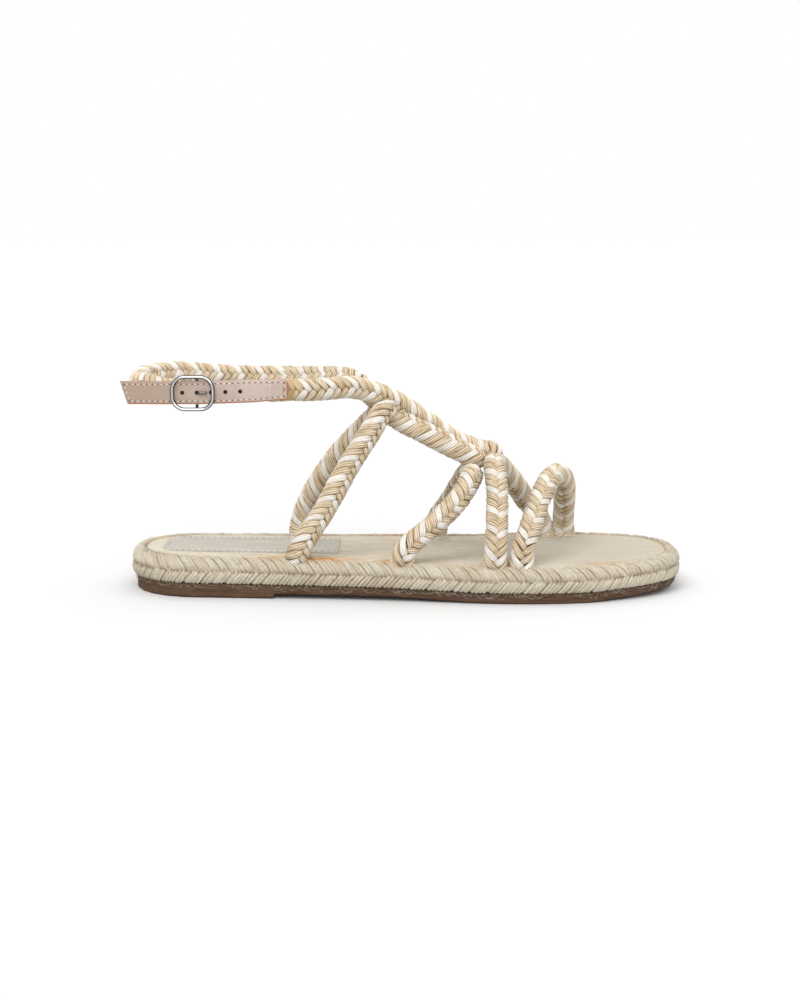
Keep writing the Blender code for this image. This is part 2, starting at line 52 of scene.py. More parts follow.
# Sole: half widths to each side, and heights of the rubber's upper edge and of the footbed, from heel to toe.
HEEL_X = -129.0
TOE_X = 129.0
HEEL_CAP = 34.0
TOE_CAP = 46.0
HEEL_ROUNDNESS = 2.1
TOE_ROUNDNESS = 2.4
OUTLINE_COLUMNS = ("x", "lateral", "medial")
OUTLINE = (
    (-129.0, 31.5, 31.0),
    (-95.0, 32.5, 31.5),
    (-61.0, 35.0, 33.0),
    (-30.0, 37.5, 34.0),
    (0.0, 41.0, 36.5),
    (30.0, 45.0, 41.5),
    (60.0, 46.5, 46.0),
    (84.0, 43.5, 45.5),
    (100.0, 38.5, 42.0),
    (129.0, 34.0, 42.0),
)
HEIGHT_COLUMNS = ("x", "rubber_top", "footbed")
HEIGHTS = (
    (-129.0, 6.9, 19.6),
    (-61.0, 6.6, 18.6),
    (-5.0, 6.2, 17.8),
    (34.0, 5.0, 16.6),
    (84.0, 5.0, 16.9),
    (129.0, 6.6, 18.2),
)


# Lines and curves


def run_along(points):
    """Distance run at each point of a line, or of each line of a stack."""
    steps = np.linalg.norm(np.diff(points, axis=-2), axis=-1)
    start = np.zeros((*steps.shape[:-1], 1))
    return np.concatenate((start, np.cumsum(steps, axis=-1)), axis=-1)


def read_line(at, run, points):
    """A line's points, or what goes with them, read at distances run."""
    return np.stack([np.interp(at, run, column) for column in points.T], -1)


def unit(vectors):
    """The same directions, at length one."""
    return vectors / (np.linalg.norm(vectors, axis=-1, keepdims=True) + 1e-9)


def eased(share):
    """0 to 1, with a soft start and end."""
    share = np.clip(share, 0, 1)
    return share * share * (3 - 2 * share)


def smooth_line(points, step):
    """Points at even steps along a centripetal Catmull-Rom curve through the route."""
    per_stretch = 12
    route = [np.array(p, float) for p in points]
    route = [2 * route[0] - route[1], *route, 2 * route[-1] - route[-2]]
    fine = []
    for a, b, c, d in zip(route, route[1:], route[2:], route[3:]):
        t1 = np.linalg.norm(b - a) ** 0.5
        t2 = t1 + np.linalg.norm(c - b) ** 0.5
        t3 = t2 + np.linalg.norm(d - c) ** 0.5
        for t in np.linspace(t1, t2, per_stretch, endpoint=False):
            ab = (t1 - t) / t1 * a + t / t1 * b
            bc = (t2 - t) / (t2 - t1) * b + (t - t1) / (t2 - t1) * c
            cd = (t3 - t) / (t3 - t2) * c + (t - t2) / (t3 - t2) * d
            abc = (t2 - t) / t2 * ab + t / t2 * bc
            bcd = (t3 - t) / (t3 - t1) * bc + (t - t1) / (t3 - t1) * cd
            fine.append((t2 - t) / (t2 - t1) * abc + (t - t1) / (t2 - t1) * bcd)
    fine = np.array([*fine, route[-2]])
    run = run_along(fine)
    count = max(2, round(run[-1] / step))
    return read_line(np.linspace(0, run[-1], count + 1), run, fine)


def smooth_value(rows, column, x):
    """Reads a table's column at x along a smooth curve through its rows."""
    xs, ys = ([row[k] for row in rows] for k in (0, column))
    x = min(max(x, xs[0]), xs[-1])
    i = min(max(np.searchsorted(xs, x) - 1, 0), len(xs) - 2)
    step = xs[i + 1] - xs[i]
    t = (x - xs[i]) / step
    slopes = np.gradient(ys, xs)
    bend = step * t * (1 - t) * ((1 - t) * slopes[i] - t * slopes[i + 1])
    return ys[i] + (ys[i + 1] - ys[i]) * eased(t) + bend


# The sole's shape


def height(column, x):
    """Height of the rubber's edge or of the footbed at x, straight between the rows."""
    rows = np.array(HEIGHTS)
    return np.interp(x, rows[:, 0], rows[:, HEIGHT_COLUMNS.index(column)])


def outline_y(side, x):
    """Half width of the jute wall at x on one side, rounded off at heel and toe."""
    base = smooth_value(OUTLINE, OUTLINE_COLUMNS.index(side), x)
    if x < HEEL_X + HEEL_CAP:
        along, power = (HEEL_X + HEEL_CAP - x) / HEEL_CAP, HEEL_ROUNDNESS
    elif x > TOE_X - TOE_CAP:
        along, power = (x - TOE_X + TOE_CAP) / TOE_CAP, TOE_ROUNDNESS
    else:
        return base
    return base * max(0.0, 1 - along**power) ** (1 / power)


def middle_y(x):
    """Middle of the sole at x."""
    return (outline_y("medial", x) - outline_y("lateral", x)) / 2


class SoleEdge:
    """The sole's outline, read by the distance run round it, from the heel along the lateral side."""

    def __init__(self):
        middle = (HEEL_X + TOE_X) / 2
        half = (TOE_X - HEEL_X) / 2
        xs = middle - half * np.cos(np.linspace(0, math.pi, 1500))
        lateral = [(x, -outline_y("lateral", x)) for x in xs]
        medial = [(x, outline_y("medial", x)) for x in xs[::-1]]
        self.line = np.array([*lateral, *medial[1:]])
        self.run = run_along(self.line)
        self.length = self.run[-1]

    def point(self, run):
        return read_line(np.mod(run, self.length), self.run, self.line)

    def at(self, run):
        """Points on the edge, and the directions inwards, at distances run."""
        reach = 0.8
        along = unit(self.point(run + reach) - self.point(run - reach))
        return self.point(run), np.stack((-along[..., 1], along[..., 0]), -1)


edge = SoleEdge()


# Mesh making


def mesh_piece(name, verts, faces, material, uv=None, values=None):
    """Makes a smooth mesh object from points in millimetres, with a uv and named values for each point."""
    mesh = bpy.data.meshes.new(name)
    mesh.from_pydata((np.asarray(verts) * MM).tolist(), [], faces)
    corner = np.zeros(len(mesh.loops), np.int32)
    mesh.loops.foreach_get("vertex_index", corner)
    if uv is not None:
        layer = mesh.uv_layers.new(name="along")
        layer.data.foreach_set("uv", np.asarray(uv, np.float32)[corner].ravel())
    for key, value in (values or {}).items():
        layer = mesh.attributes.new(key, "FLOAT", "POINT")
        layer.data.foreach_set("value", np.asarray(value, np.float32))
    mesh.shade_smooth()
    obj = bpy.data.objects.new(name, mesh)
    bpy.context.scene.collection.objects.link(obj)
    mesh.materials.append(material)
    return obj


def rides(piece):
    """A piece that is fixed to the shoe."""
    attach(piece, "root")


def stands_for(piece, node):
    """A piece that is fixed to the shoe and shown in place of a plain solid."""
    rides(piece)
    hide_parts(node)


def ring_quads(rings, sides, turned=False):
    """Faces between closed rings of points that follow one another. Turned ones look the other way."""
    here = np.arange(rings - 1)[:, None] * sides
    ring = np.arange(sides)
    a, b = here + ring, here + (ring + 1) % sides
    c, d = b + sides, a + sides
    return np.stack((a, d, c, b) if turned else (a, b, c, d), -1).reshape(-1, 4)


def closed_rings(rings, sides, turned=False):
    """Faces of a closed body of such rings, with its first and last ring filled."""
    first = np.arange(sides)
    last = (rings - 1) * sides + first
    ends = (first, last[::-1]) if turned else (first[::-1], last)
    return [*ring_quads(rings, sides, turned).tolist(), *(end.tolist() for end in ends)]


# How yarns are plied: number of plies, depth of the grooves between them, turns a millimetre.
RAFFIA_PLIES = (3, 0.6, 0.12)
JUTE_PLIES = (2, 0.34, 0.12)
ONE_HAIR = (1, 0.0, 0.0)


def strand_bundle(name, paths, normals, widths, heights, material, plying, values):
    """Joined mesh of yarns. paths and normals are (yarn, point, xyz); widths and heights are (yarn, point).

    Each yarn's upper side is crowned, and grooved into the plies that wind round it. The values are given for
    each yarn or for each point along it. Every yarn reads the fibre pattern at a place of its own.
    """
    plies, groove_depth, turns = plying
    roundness = 2.5
    top = np.linspace(1, -1, 4 * plies + 1)
    across = np.concatenate((top, (-0.7, 0.0, 0.7)))
    under = np.array((-0.55, -0.7, -0.55))
    sides = len(across)
    yarns, steps = paths.shape[:2]
    shape = (yarns, steps, sides)
    run = run_along(paths) + seeded.uniform(0, 900, (yarns, 1))
    wind = math.pi * (plies * (top + 1) / 2 + turns * run[..., None])
    crown = (1 - np.abs(top) ** roundness) ** (1 / roundness)
    groove = 1 - groove_depth * (1 - np.abs(np.sin(wind)))
    up = crown * np.where(np.abs(top) < 0.95, groove, 1.0)
    lift = np.concatenate((up, np.broadcast_to(under, (yarns, steps, len(under)))), axis=2)
    along = unit(np.gradient(paths, axis=1))
    side = unit(np.cross(along, normals))
    out = np.cross(side, along)
    verts = (
        paths[:, :, None]
        + side[:, :, None] * (widths[..., None] * across)[..., None]
        + out[:, :, None] * (heights[..., None] * lift)[..., None]
    )
    ring = np.arange(sides)
    firsts = np.arange(yarns) * steps * sides
    quads = ring_quads(steps, sides, turned=True)
    faces = (quads + firsts[:, None, None]).reshape(-1, 4).tolist()
    for first in firsts:
        faces.append((first + ring).tolist())
        faces.append((first + (steps - 1) * sides + ring[::-1]).tolist())
    u = np.broadcast_to(run[..., None], shape)
    v = np.broadcast_to(across * 1.5 + seeded.integers(0, 90, (yarns, 1, 1)), shape)
    given = {"crown": np.clip(lift, 0, 1).ravel()}
    for key, value in values.items():
        given[key] = np.broadcast_to(np.asarray(value, float).reshape(yarns, -1, 1), shape).ravel()
    return mesh_piece(name, verts.reshape(-1, 3), faces, material, np.stack((u.ravel(), v.ravel()), 1), given)


# Materials


class Wire:
    """A node's output that can be used in sums."""

    def __init__(self, finish, socket):
        self.finish = finish
        self.socket = socket

    def maths(self, operation, *values):
        return self.finish.node("ShaderNodeMath", {"operation": operation}, dict(enumerate(values)))

    def __add__(self, other):
        return self.maths("ADD", self, other)

    def __sub__(self, other):
        return self.maths("SUBTRACT", self, other)

    def __rsub__(self, other):
        return self.maths("SUBTRACT", other, self)

    def __mul__(self, other):
        return self.maths("MULTIPLY", self, other)

    __radd__ = __add__
    __rmul__ = __mul__

    def between(self, low, high):
        """0 at low, 1 at high, smooth between."""
        values = {"Value": self, "From Min": low, "From Max": high}
        return self.finish.node("ShaderNodeMapRange", {"interpolation_type": "SMOOTHSTEP"}, values)


class Finish:
    """One material, made of nodes."""

    def __init__(self, name, **constants):
        self.material = bpy.data.materials.new(name)
        self.material.use_nodes = True
        self.tree = self.material.node_tree
        self.shader = self.tree.nodes["Principled BSDF"]
        self.set(**constants)

    def set(self, **values):
        """Gives the shader's sockets their constants or wires."""
        for socket, value in values.items():
            self.plug(self.shader.inputs[socket.replace("_", " ")], value)
        return self.material

    def node(self, kind, settings=None, values=None, out=0):
        """Adds a node with its settings and its sockets' values or links, and gives one of its outputs."""
        made = self.tree.nodes.new(kind)
        for key, value in (settings or {}).items():
            setattr(made, key, value)
        for key, value in (values or {}).items():
            self.plug(made.inputs[key], value)
        return Wire(self, made.outputs[out])

    def plug(self, socket, value):
        if isinstance(value, Wire):
            self.tree.links.new(value.socket, socket)
        elif socket.type == "RGBA":
            socket.default_value = (*value, 1)
        else:
            socket.default_value = value

    def place(self):
        """Object coordinates, in metres."""
        return self.node("ShaderNodeTexCoord", out=3)

    def facing(self):
        """The direction that the surface faces, in the object's own axes."""
        return self.node("ShaderNodeTexCoord", out=1)

    def along(self):
        """The piece's own uv map, in millimetres along and across its yarns."""
        return self.node("ShaderNodeUVMap", {"uv_map": "along"})

    def value(self, name):
        """A named value of the piece."""
        return self.node("ShaderNodeAttribute", {"attribute_name": name}, out=2)

    def axis(self, vector, number):
        """One of a vector's three numbers."""
        return self.node("ShaderNodeSeparateXYZ", None, {0: vector}, out=number)

    def scaled(self, vector, scale):
        return self.node("ShaderNodeMapping", None, {"Vector": vector, "Scale": scale})

    def noise(self, vector, scale, detail, roughness=0.5):
        values = {"Vector": vector, "Scale": scale, "Detail": detail, "Roughness": roughness}
        return self.node("ShaderNodeTexNoise", None, values)

    def weave(self, vector, direction):
        values = {"Vector": vector, "Scale": 380.0, "Distortion": 1.2}
        return self.node("ShaderNodeTexWave", {"bands_direction": direction}, values)

    def mix(self, share, first, second):
        return self.node("ShaderNodeMix", {"data_type": "RGBA"}, {0: share, 6: first, 7: second}, out=2)

    def bump(self, relief, distance, strength=1.0, under=None):
        values = {"Height": relief, "Distance": distance, "Strength": strength}
        if under is not None:
            values["Normal"] = under
        return self.node("ShaderNodeBump", None, values)

    def blots(self, place):
        """The piece's own glue stain, broken up into blots."""
        blot = self.noise(place, 210.0, 4, 0.75)
        return self.value("stain") * (blot.between(0.34, 0.50) * 0.45 + blot.between(0.44, 0.53) * 0.55)


# Colours, in linear red, green and blue, and steel's darkest and lightest greys.
TAN_DARK = (0.47, 0.375, 0.25)
TAN_LIGHT = (0.62, 0.53, 0.39)
TAN_PALE = (0.62, 0.55, 0.44)
TAN_FIBRE = (0.29, 0.185, 0.085)
# Painted shade for the grooves between the raffia's plies.
TAN_GROOVE_SHADE = (0.26, 0.16, 0.07)
WHITE_DULL = (0.60, 0.57, 0.51)
WHITE_CLEAN = (0.70, 0.675, 0.63)
CORE_DARK = (0.20, 0.12, 0.05)
CORE_LIGHT = (0.32, 0.2, 0.1)
DRIED_GLUE = (0.44, 0.29, 0.10)
JUTE_DULL = (0.415, 0.355, 0.258)
JUTE_CLEAN = (0.52, 0.47, 0.375)
JUTE_PALE = (0.57, 0.53, 0.45)
JUTE_FIBRE = (0.31, 0.235, 0.14)
# Painted shade for the jute's grooves and for the gap where its two rows meet.
JUTE_GROOVE_SHADE = (0.27, 0.19, 0.105)
JUTE_GAP_SHADE = (0.17, 0.105, 0.045)
JUTE_STAIN = (0.47, 0.19, 0.025)
BODY_DARK = (0.42, 0.345, 0.235)
BODY_LIGHT = (0.54, 0.465, 0.35)
LINEN_DULL = (0.41, 0.36, 0.275)
LINEN_CLEAN = (0.545, 0.50, 0.42)
LINEN_MOTTLE = (0.38, 0.33, 0.245)
LINEN_CLOUD = (0.54, 0.505, 0.44)
LINEN_THREAD = (0.37, 0.29, 0.18)
# Painted shade for the linen in front of the arch.
LINEN_FORE_SHADE = (0.365, 0.33, 0.265)
LINEN_STAIN = (0.47, 0.20, 0.035)
LABEL_DULL = (0.35, 0.325, 0.28)
LABEL_CLEAN = (0.445, 0.415, 0.365)
LABEL_GAP = (0.25, 0.235, 0.215)
HIDE_DARK = (0.345, 0.264, 0.222)
HIDE_LIGHT = (0.41, 0.322, 0.280)
HIDE_MOTTLE = (0.30, 0.215, 0.175)
HIDE_FREE_END = (0.265, 0.19, 0.13)
PAINT_DARK = (0.20, 0.075, 0.03)
PAINT_LIGHT = (0.33, 0.14, 0.06)
WAXED_DARK = (0.47, 0.39, 0.34)
WAXED_LIGHT = (0.62, 0.54, 0.47)
PALE_DARK = (0.42, 0.40, 0.37)
PALE_LIGHT = (0.60, 0.58, 0.54)
HOLE_DARK = (0.015, 0.008, 0.006)
HOLE_LIGHT = (0.05, 0.028, 0.02)
STEEL_GREYS = (0.46, 0.62)
# The prong's greys are painted darker, a painted reflection of dark surroundings.
PRONG_PAINTED_DARK_GREYS = (0.10, 0.20)
# Painted reflection: the dark that the steel shows on its flanks.
STEEL_PAINTED_REFLECTION = (0.035, 0.035, 0.037)
RUBBER_DARK = (0.058, 0.031, 0.018)
RUBBER_LIGHT = (0.096, 0.057, 0.035)
FLOOR_DARK = (0.572, 0.572, 0.572)
FLOOR_LIGHT = (0.58, 0.58, 0.58)


def raffia():
    """Tan and white raffia yarn: long fibres, with painted shade between the plies."""
    f = Finish("raffia", Roughness=0.62, Specular_IOR_Level=0.35)
    along = f.along()
    fibre = f.noise(f.scaled(along, (0.12, 1.9, 1)), 1.0, 5, 0.66)
    streak = f.noise(f.scaled(along, (0.05, 1.3, 1)), 1.0, 2)
    white = f.value("white")
    tan = f.mix(streak.between(0.3, 0.72), TAN_DARK, TAN_LIGHT)
    tan = f.mix(f.value("shade") * 0.5, tan, TAN_PALE)
    pale = f.mix(streak.between(0.3, 0.8), WHITE_DULL, WHITE_CLEAN)
    colour = f.mix(white, tan, pale)
    colour = f.mix(fibre.between(0.49, 0.39) * (0.76 - white * 0.56), colour, TAN_FIBRE)
    # Painted shade: the yarn is darkened where its crown is low, in the grooves between plies and at its
    # edges.
    colour = f.mix(f.value("crown").between(0.80, 0.45) * (0.75 - white * 0.50), colour, TAN_GROOVE_SHADE)
    colour = f.mix(f.value("glue") * (0.35 + 0.35 * streak.between(0.4, 0.6)), colour, DRIED_GLUE)
    return f.set(Base_Color=colour, Normal=f.bump(fibre, 0.0006))


def cord_core():
    """Shadowed yarn inside the braid."""
    f = Finish("cord_core", Roughness=0.9)
    return f.set(Base_Color=f.mix(f.noise(f.place(), 900.0, 2), CORE_DARK, CORE_LIGHT))


def jute():
    """Pale jute yarn of the sole's braid, with darker fibres, a few glue stains near the footbed seam, and
    painted shade in its grooves and where the two rows meet.
    """
    f = Finish("jute", Roughness=0.88, Specular_IOR_Level=0.2)
    place = f.place()
    fibre = f.noise(f.scaled(f.along(), (0.22, 2.4, 1)), 1.0, 5, 0.65)
    patch = f.noise(place, 60.0, 4, 0.65)
    hard = 1.0 - f.value("soft")
    # Painted shade in the dark gap where the two rows of yarn meet.
    gap_shade = f.value("middle") * f.noise(place, 330.0, 2, 0.6).between(0.42, 0.54)
    speck = f.noise(place, 1300.0, 2, 0.6)
    base = f.mix(patch.between(0.3, 0.7), JUTE_DULL, JUTE_CLEAN)
    base = f.mix(f.value("shade") * 0.5, base, JUTE_PALE)
    base = f.mix(fibre.between(0.50, 0.36) * 0.55, base, JUTE_FIBRE)
    # Painted shade in the grooves between plies, weaker on the soft rim.
    base = f.mix(f.value("crown").between(0.7, 0.1) * (hard * 0.22 + 0.05), base, JUTE_GROOVE_SHADE)
    base = f.mix(gap_shade * 0.8, base, JUTE_GAP_SHADE)
    base = f.mix(speck.between(0.56, 0.68) * 0.3, base, JUTE_FIBRE)
    base = f.mix(f.blots(place), base, JUTE_STAIN)
    return f.set(Base_Color=base, Normal=f.bump(fibre, 0.0006))


def jute_body():
    """Jute that shows between the yarns."""
    f = Finish("jute_body", Roughness=0.95)
    grain = f.noise(f.scaled(f.place(), (300, 900, 900)), 1.0, 4, 0.6)
    return f.set(Base_Color=f.mix(grain, BODY_DARK, BODY_LIGHT))


def linen():
    """Natural linen over the footbed, with slubs that run along the foot, and painted shade that makes it
    duller in front of the arch.
    """
    f = Finish("linen", Roughness=0.9, Specular_IOR_Level=0.2)
    place = f.place()
    slub = f.noise(f.scaled(place, (55, 520, 300)), 1.0, 5, 0.65)
    thread = f.noise(f.scaled(place, (500, 2600, 900)), 1.0, 3, 0.6)
    cross = f.noise(f.scaled(place, (2600, 500, 900)), 1.0, 2, 0.6)
    cloud = f.noise(place, 24.0, 2)
    mottle = f.noise(place, 230.0, 3, 0.65)
    base = f.mix(slub.between(0.28, 0.75), LINEN_DULL, LINEN_CLEAN)
    base = f.mix(mottle.between(0.42, 0.68) * 0.35, base, LINEN_MOTTLE)
    base = f.mix(cloud.between(0.4, 0.75) * 0.4, base, LINEN_CLOUD)
    base = f.mix(thread.between(0.5, 0.3) * 0.35, base, LINEN_THREAD)
    # Painted shade: the linen is darkened from the arch towards the toe.
    base = f.mix(f.axis(place, 0).between(0.03, 0.1) * 0.62, base, LINEN_FORE_SHADE)
    base = f.mix(f.blots(place), base, LINEN_STAIN)
    bump = f.bump(slub, 0.0009, 0.6)
    return f.set(Base_Color=base, Normal=f.bump(thread * 0.6 + cross * 0.4, 0.0003, 0.6, bump))


def label_linen():
    """Light grey linen of the heel label."""
    f = Finish("label_linen", Roughness=0.9, Specular_IOR_Level=0.2)
    place = f.place()
    weave = f.weave(place, "Y") * 0.5 + f.weave(place, "X") * 0.5
    slub = f.noise(f.scaled(place, (70, 600, 300)), 1.0, 4, 0.6)
    base = f.mix(slub.between(0.3, 0.7), LABEL_DULL, LABEL_CLEAN)
    base = f.mix(weave.between(0.5, 0.1) * 0.22, base, LABEL_GAP)
    return f.set(Base_Color=base, Normal=f.bump(weave, 0.0002, 0.6))


def leather():
    """Smooth blush leather with fine grain, darker and browner towards its free end."""
    f = Finish("leather", Roughness=0.52, Specular_IOR_Level=0.4)
    place = f.place()
    pores = {"Vector": place, "Scale": 2600.0}
    grain = f.node("ShaderNodeTexVoronoi", {"feature": "DISTANCE_TO_EDGE"}, pores)
    cloud = f.noise(place, 60.0, 3, 0.6)
    mottle = f.noise(place, 700.0, 2, 0.6)
    # Darker and browner towards the strap's free end.
    toward_free_end = f.axis(place, 0).between(-0.078, -0.118)
    base = f.mix(cloud.between(0.3, 0.7), HIDE_DARK, HIDE_LIGHT)
    base = f.mix(mottle.between(0.4, 0.7) * 0.25, base, HIDE_MOTTLE)
    base = f.mix(toward_free_end * 0.75, base, HIDE_FREE_END)
    bump = f.bump(grain.between(0.0, 0.12), 0.00006, 0.5)
    return f.set(Base_Color=base, Normal=f.bump(cloud, 0.0008, 0.35, bump))


def painted_edge():
    """Brown painted cut edge of the leather."""
    f = Finish("painted_edge", Roughness=0.45)
    return f.set(Base_Color=f.mix(f.noise(f.place(), 500.0, 2), PAINT_DARK, PAINT_LIGHT))


def thread(name, roughness, dark, light):
    """Sewing thread."""
    f = Finish(name, Roughness=roughness)
    twist = f.noise(f.place(), 2200.0, 2)
    return f.set(Base_Color=f.mix(twist, dark, light), Normal=f.bump(twist, 0.0001, 0.5))


def dark_hole():
    """Shadow in a stitch hole or punched hole."""
    f = Finish("dark_hole", Roughness=0.9)
    return f.set(Base_Color=f.mix(f.noise(f.place(), 900.0, 1), HOLE_DARK, HOLE_LIGHT))


def steel(name, least, most):
    """Polished steel wire with faint hairline scratches, and a painted dark reflection where it turns aside
    from front and back.
    """
    f = Finish(name, Metallic=1.0, Roughness=0.12)
    # Painted reflection: the base colour goes dark where the wire faces neither front nor back.
    front = f.axis(f.facing(), 1)
    square = front * front
    dark = square.between(0.86, 0.70) * (0.55 + 0.45 * square.between(0.05, 0.22))
    hairline = f.noise(f.scaled(f.place(), (900, 2400, 900)), 1.0, 3, 0.7)
    base = f.mix(hairline, (least, least, least * 1.02), (most, most, most))
    return f.set(Base_Color=f.mix(dark, base, STEEL_PAINTED_REFLECTION), Roughness=hairline * 0.12 + 0.02)


def rubber():
    """Matte brown sole rubber with scuffs along its edge."""
    f = Finish("rubber", Specular_IOR_Level=0.12)
    place = f.place()
    fine = f.noise(place, 1500.0, 3, 0.6)
    scuff = f.noise(f.scaled(place, (60, 200, 900)), 1.0, 4, 0.6)
    base = f.mix(scuff.between(0.35, 0.7), RUBBER_DARK, RUBBER_LIGHT)
    return f.set(Base_Color=base, Roughness=scuff * 0.25 + 0.55, Normal=f.bump(fine, 0.00012, 0.5))


def pale_floor():
    """Plain pale studio floor."""
    f = Finish("pale_floor", Roughness=0.8, Specular_IOR_Level=0.1)
    return f.set(Base_Color=f.mix(f.noise(f.place(), 30.0, 1), FLOOR_DARK, FLOOR_LIGHT))


# Cords: routes are points chosen along each strap


ANKLE_LATERAL = (
    (-66.0, -20.0, 94.2),
    (-59.0, -19.1, 94.3),
    (-52.8, -18.2, 94.4),
    (-44.7, -18.8, 94.4),
    (-36.5, -17.5, 94.8),
    (-25.0, -13.6, 95.0),
    (-15.6, -10.2, 92.6),
    (-7.4, -7.0, 88.8),
    (-0.4, -3.2, 84.3),
    (8.9, 1.5, 77.6),
    (20.7, 4.2, 69.4),
    (30.2, 5.0, 64.8),
    (37.2, 3.0, 63.2),
    (41.3, 0.5, 62.8),
    (43.4, -2.2, 59.6),
)
ANKLE_MEDIAL = (
    (-101.0, -19.2, 94.2),
    (-108.0, -17.4, 94.5),
    (-115.0, -13.6, 95.2),
    (-120.6, -7.8, 96.2),
    (-123.6, 0.0, 97.3),
    (-121.4, 10.0, 98.2),
    (-114.5, 18.2, 98.6),
    (-103.0, 22.3, 98.2),
    (-84.1, 23.0, 96.8),
    (-55.2, 20.6, 96.5),
    (-38.3, 14.8, 97.1),
    (-28.6, 8.2, 97.3),
    (-22.4, 2.2, 95.4),
    (-15.8, -1.8, 89.9),
    (-9.7, -4.2, 84.0),
    (-2.8, -5.6, 79.0),
    (8.9, -6.6, 73.0),
    (20.5, -6.6, 67.0),
    (31.0, -6.0, 61.8),
    (37.5, -4.6, 58.9),
)
REAR_STRAP = (
    (-49.6, -32.4, 19.0),
    (-46.4, -31.6, 26.4),
    (-36.6, -27.0, 41.4),
    (-27.0, -21.6, 58.4),
    (-16.2, -16.4, 75.1),
    (-11.6, -12.6, 82.6),
    (-8.0, -6.2, 86.6),
    (-8.4, 0.8, 86.4),
    (-12.2, 7.0, 82.1),
    (-18.9, 12.0, 74.8),
    (-29.0, 17.0, 63.6),
    (-38.9, 21.0, 50.4),
    (-47.4, 24.6, 35.6),
    (-50.6, 25.6, 26.0),
    (-51.0, 25.8, 18.2),
)
MIDDLE_STRAP = (
    (-1.6, -36.8, 17.4),
    (0.2, -36.2, 24.0),
    (13.0, -31.0, 34.5),
    (23.8, -25.0, 44.6),
    (29.3, -17.6, 52.0),
    (30.6, -9.0, 54.2),
    (29.4, 0.0, 53.4),
    (26.6, 12.0, 47.0),
    (21.4, 20.4, 36.4),
    (16.2, 27.0, 27.4),
    (14.4, 29.4, 17.2),
)
FRONT_STRAP = (
    (40.0, -41.0, 16.4),
    (40.6, -39.4, 25.6),
    (41.2, -33.0, 36.4),
    (41.6, -24.0, 49.0),
    (41.0, -13.6, 57.6),
    (41.2, -3.4, 58.6),
    (43.2, 5.4, 56.8),
    (46.9, 13.4, 52.4),
    (51.8, 20.4, 46.0),
    (58.1, 28.4, 36.2),
    (65.4, 35.6, 26.2),
    (68.8, 38.2, 16.4),
)
TOE_STRAP = (
    (51.9, -40.8, 16.4),
    (52.9, -39.2, 25.0),
    (57.3, -31.4, 36.0),
    (62.8, -20.0, 47.0),
    (67.6, -8.4, 52.2),
    (71.9, 2.0, 52.4),
    (75.5, 13.0, 47.3),
    (76.9, 24.0, 37.7),
    (77.4, 33.6, 27.1),
    (77.6, 37.6, 16.4),
)
# How each cord is laid: name, route, turns, point, phase, pitch, ends.
# Turns say where its front seam looks, as (share of the length, degrees from straight out towards its side).
# Point is which way its chevrons point, 1 along the route and -1 back. Phase is where its white yarns fall.
# Pitch is how far its yarns are apart. An end can be sunk into the sole, tucked to a tip under other cords,
# or pressed flat where it is sewn to leather. A glued one is flat too, and browned by glue.
CORDS = (
    ("ankle_outer", ANKLE_LATERAL, ((0.0, 0), (0.4, 0), (0.6, 25)), 1, 0, 3.5, ("glued", "tuck")),
    ("ankle_inner", ANKLE_MEDIAL, ((0.3, -32), (0.55, -32), (0.85, -100)), -1, 1, 3.5, ("flat", "tuck")),
    ("rear_strap", REAR_STRAP, ((0.05, 4), (0.36, 12), (0.7, 110)), 1, 1, 3.5, ("sunk", "sunk")),
    ("middle_strap", MIDDLE_STRAP, ((0.3, 0), (0.8, 30)), -1, 0, 3.5, ("sunk", "sunk")),
    ("front_strap", FRONT_STRAP, ((0.0, 0), (1.0, 0)), -1, 0, 3.25, ("sunk", "sunk")),
    ("toe_strap", TOE_STRAP, ((0.45, 0), (0.75, -38)), -1, 1, 3.5, ("sunk", "sunk")),
)
CORD_STEP = 0.5
# A yarn climbs BRAID_RISE from seam to seam, and dips from its high to its low radius where it goes under.
BRAID_RISE = 9.8
SEAM_OVERLAP = 0.30
YARN_LOW = 2.7
YARN_HIGH = 4.15
YARN_WIDE = 1.6
YARN_TALL = 1.15
YARN_WANDER = 0.12
YARN_UNEVEN = 0.07
WHITE_EVERY = 3
FLAT_LENGTH = 22.0
FLAT_SHARE = 0.46
TUCK_LENGTH = 5.0
SEAT_INWARD = 2.4
SINK_DOWN = 5.0
SINK_INWARD = 5.0
SUNK_ROUND = 3.0
SWELL = 0.13
SWELL_AT = 8.5
SWELL_REACH = 3.5
GLUE_START = 13.5
GLUE_REACH = 4.0
CORD_HAIRS_PER_POINT = 0.14
CORD_HAIR_RADIUS = 0.04


def laid_line(route, ends):
    """A cord's middle line, led on down and inwards where an end is sunk under the footbed's edge."""
    points = [np.array(p, float) for p in route]
    if ends[0] == "sunk":
        points[0] = points[0] + (0, SEAT_INWARD, 0)
        points.insert(0, points[0] + (0, SINK_INWARD, -SINK_DOWN))
    if ends[1] == "sunk":
        points[-1] = points[-1] - (0, SEAT_INWARD, 0)
        points.append(points[-1] - (0, SINK_INWARD, SINK_DOWN))
    return smooth_line(points, CORD_STEP)


def cord_frames(line, turns):
    """Directions along a cord: its front seam's, the one sideways of that, and the untwisted outward one."""
    along = unit(np.gradient(line, axis=0))
    normal = np.array(OUTWARDS)
    outward = []
    for t in along:
        normal = unit(normal - t * normal.dot(t))
        outward.append(normal)
    outward = np.array(outward)
    sideways = np.cross(along, outward)
    shares, degrees = np.array(turns).T
    angle = np.radians(np.interp(np.linspace(0, 1, len(line)), shares, degrees))[:, None]
    seam = outward * np.cos(angle) + sideways * np.sin(angle)
    across = sideways * np.cos(angle) - outward * np.sin(angle)
    return seam, across, outward


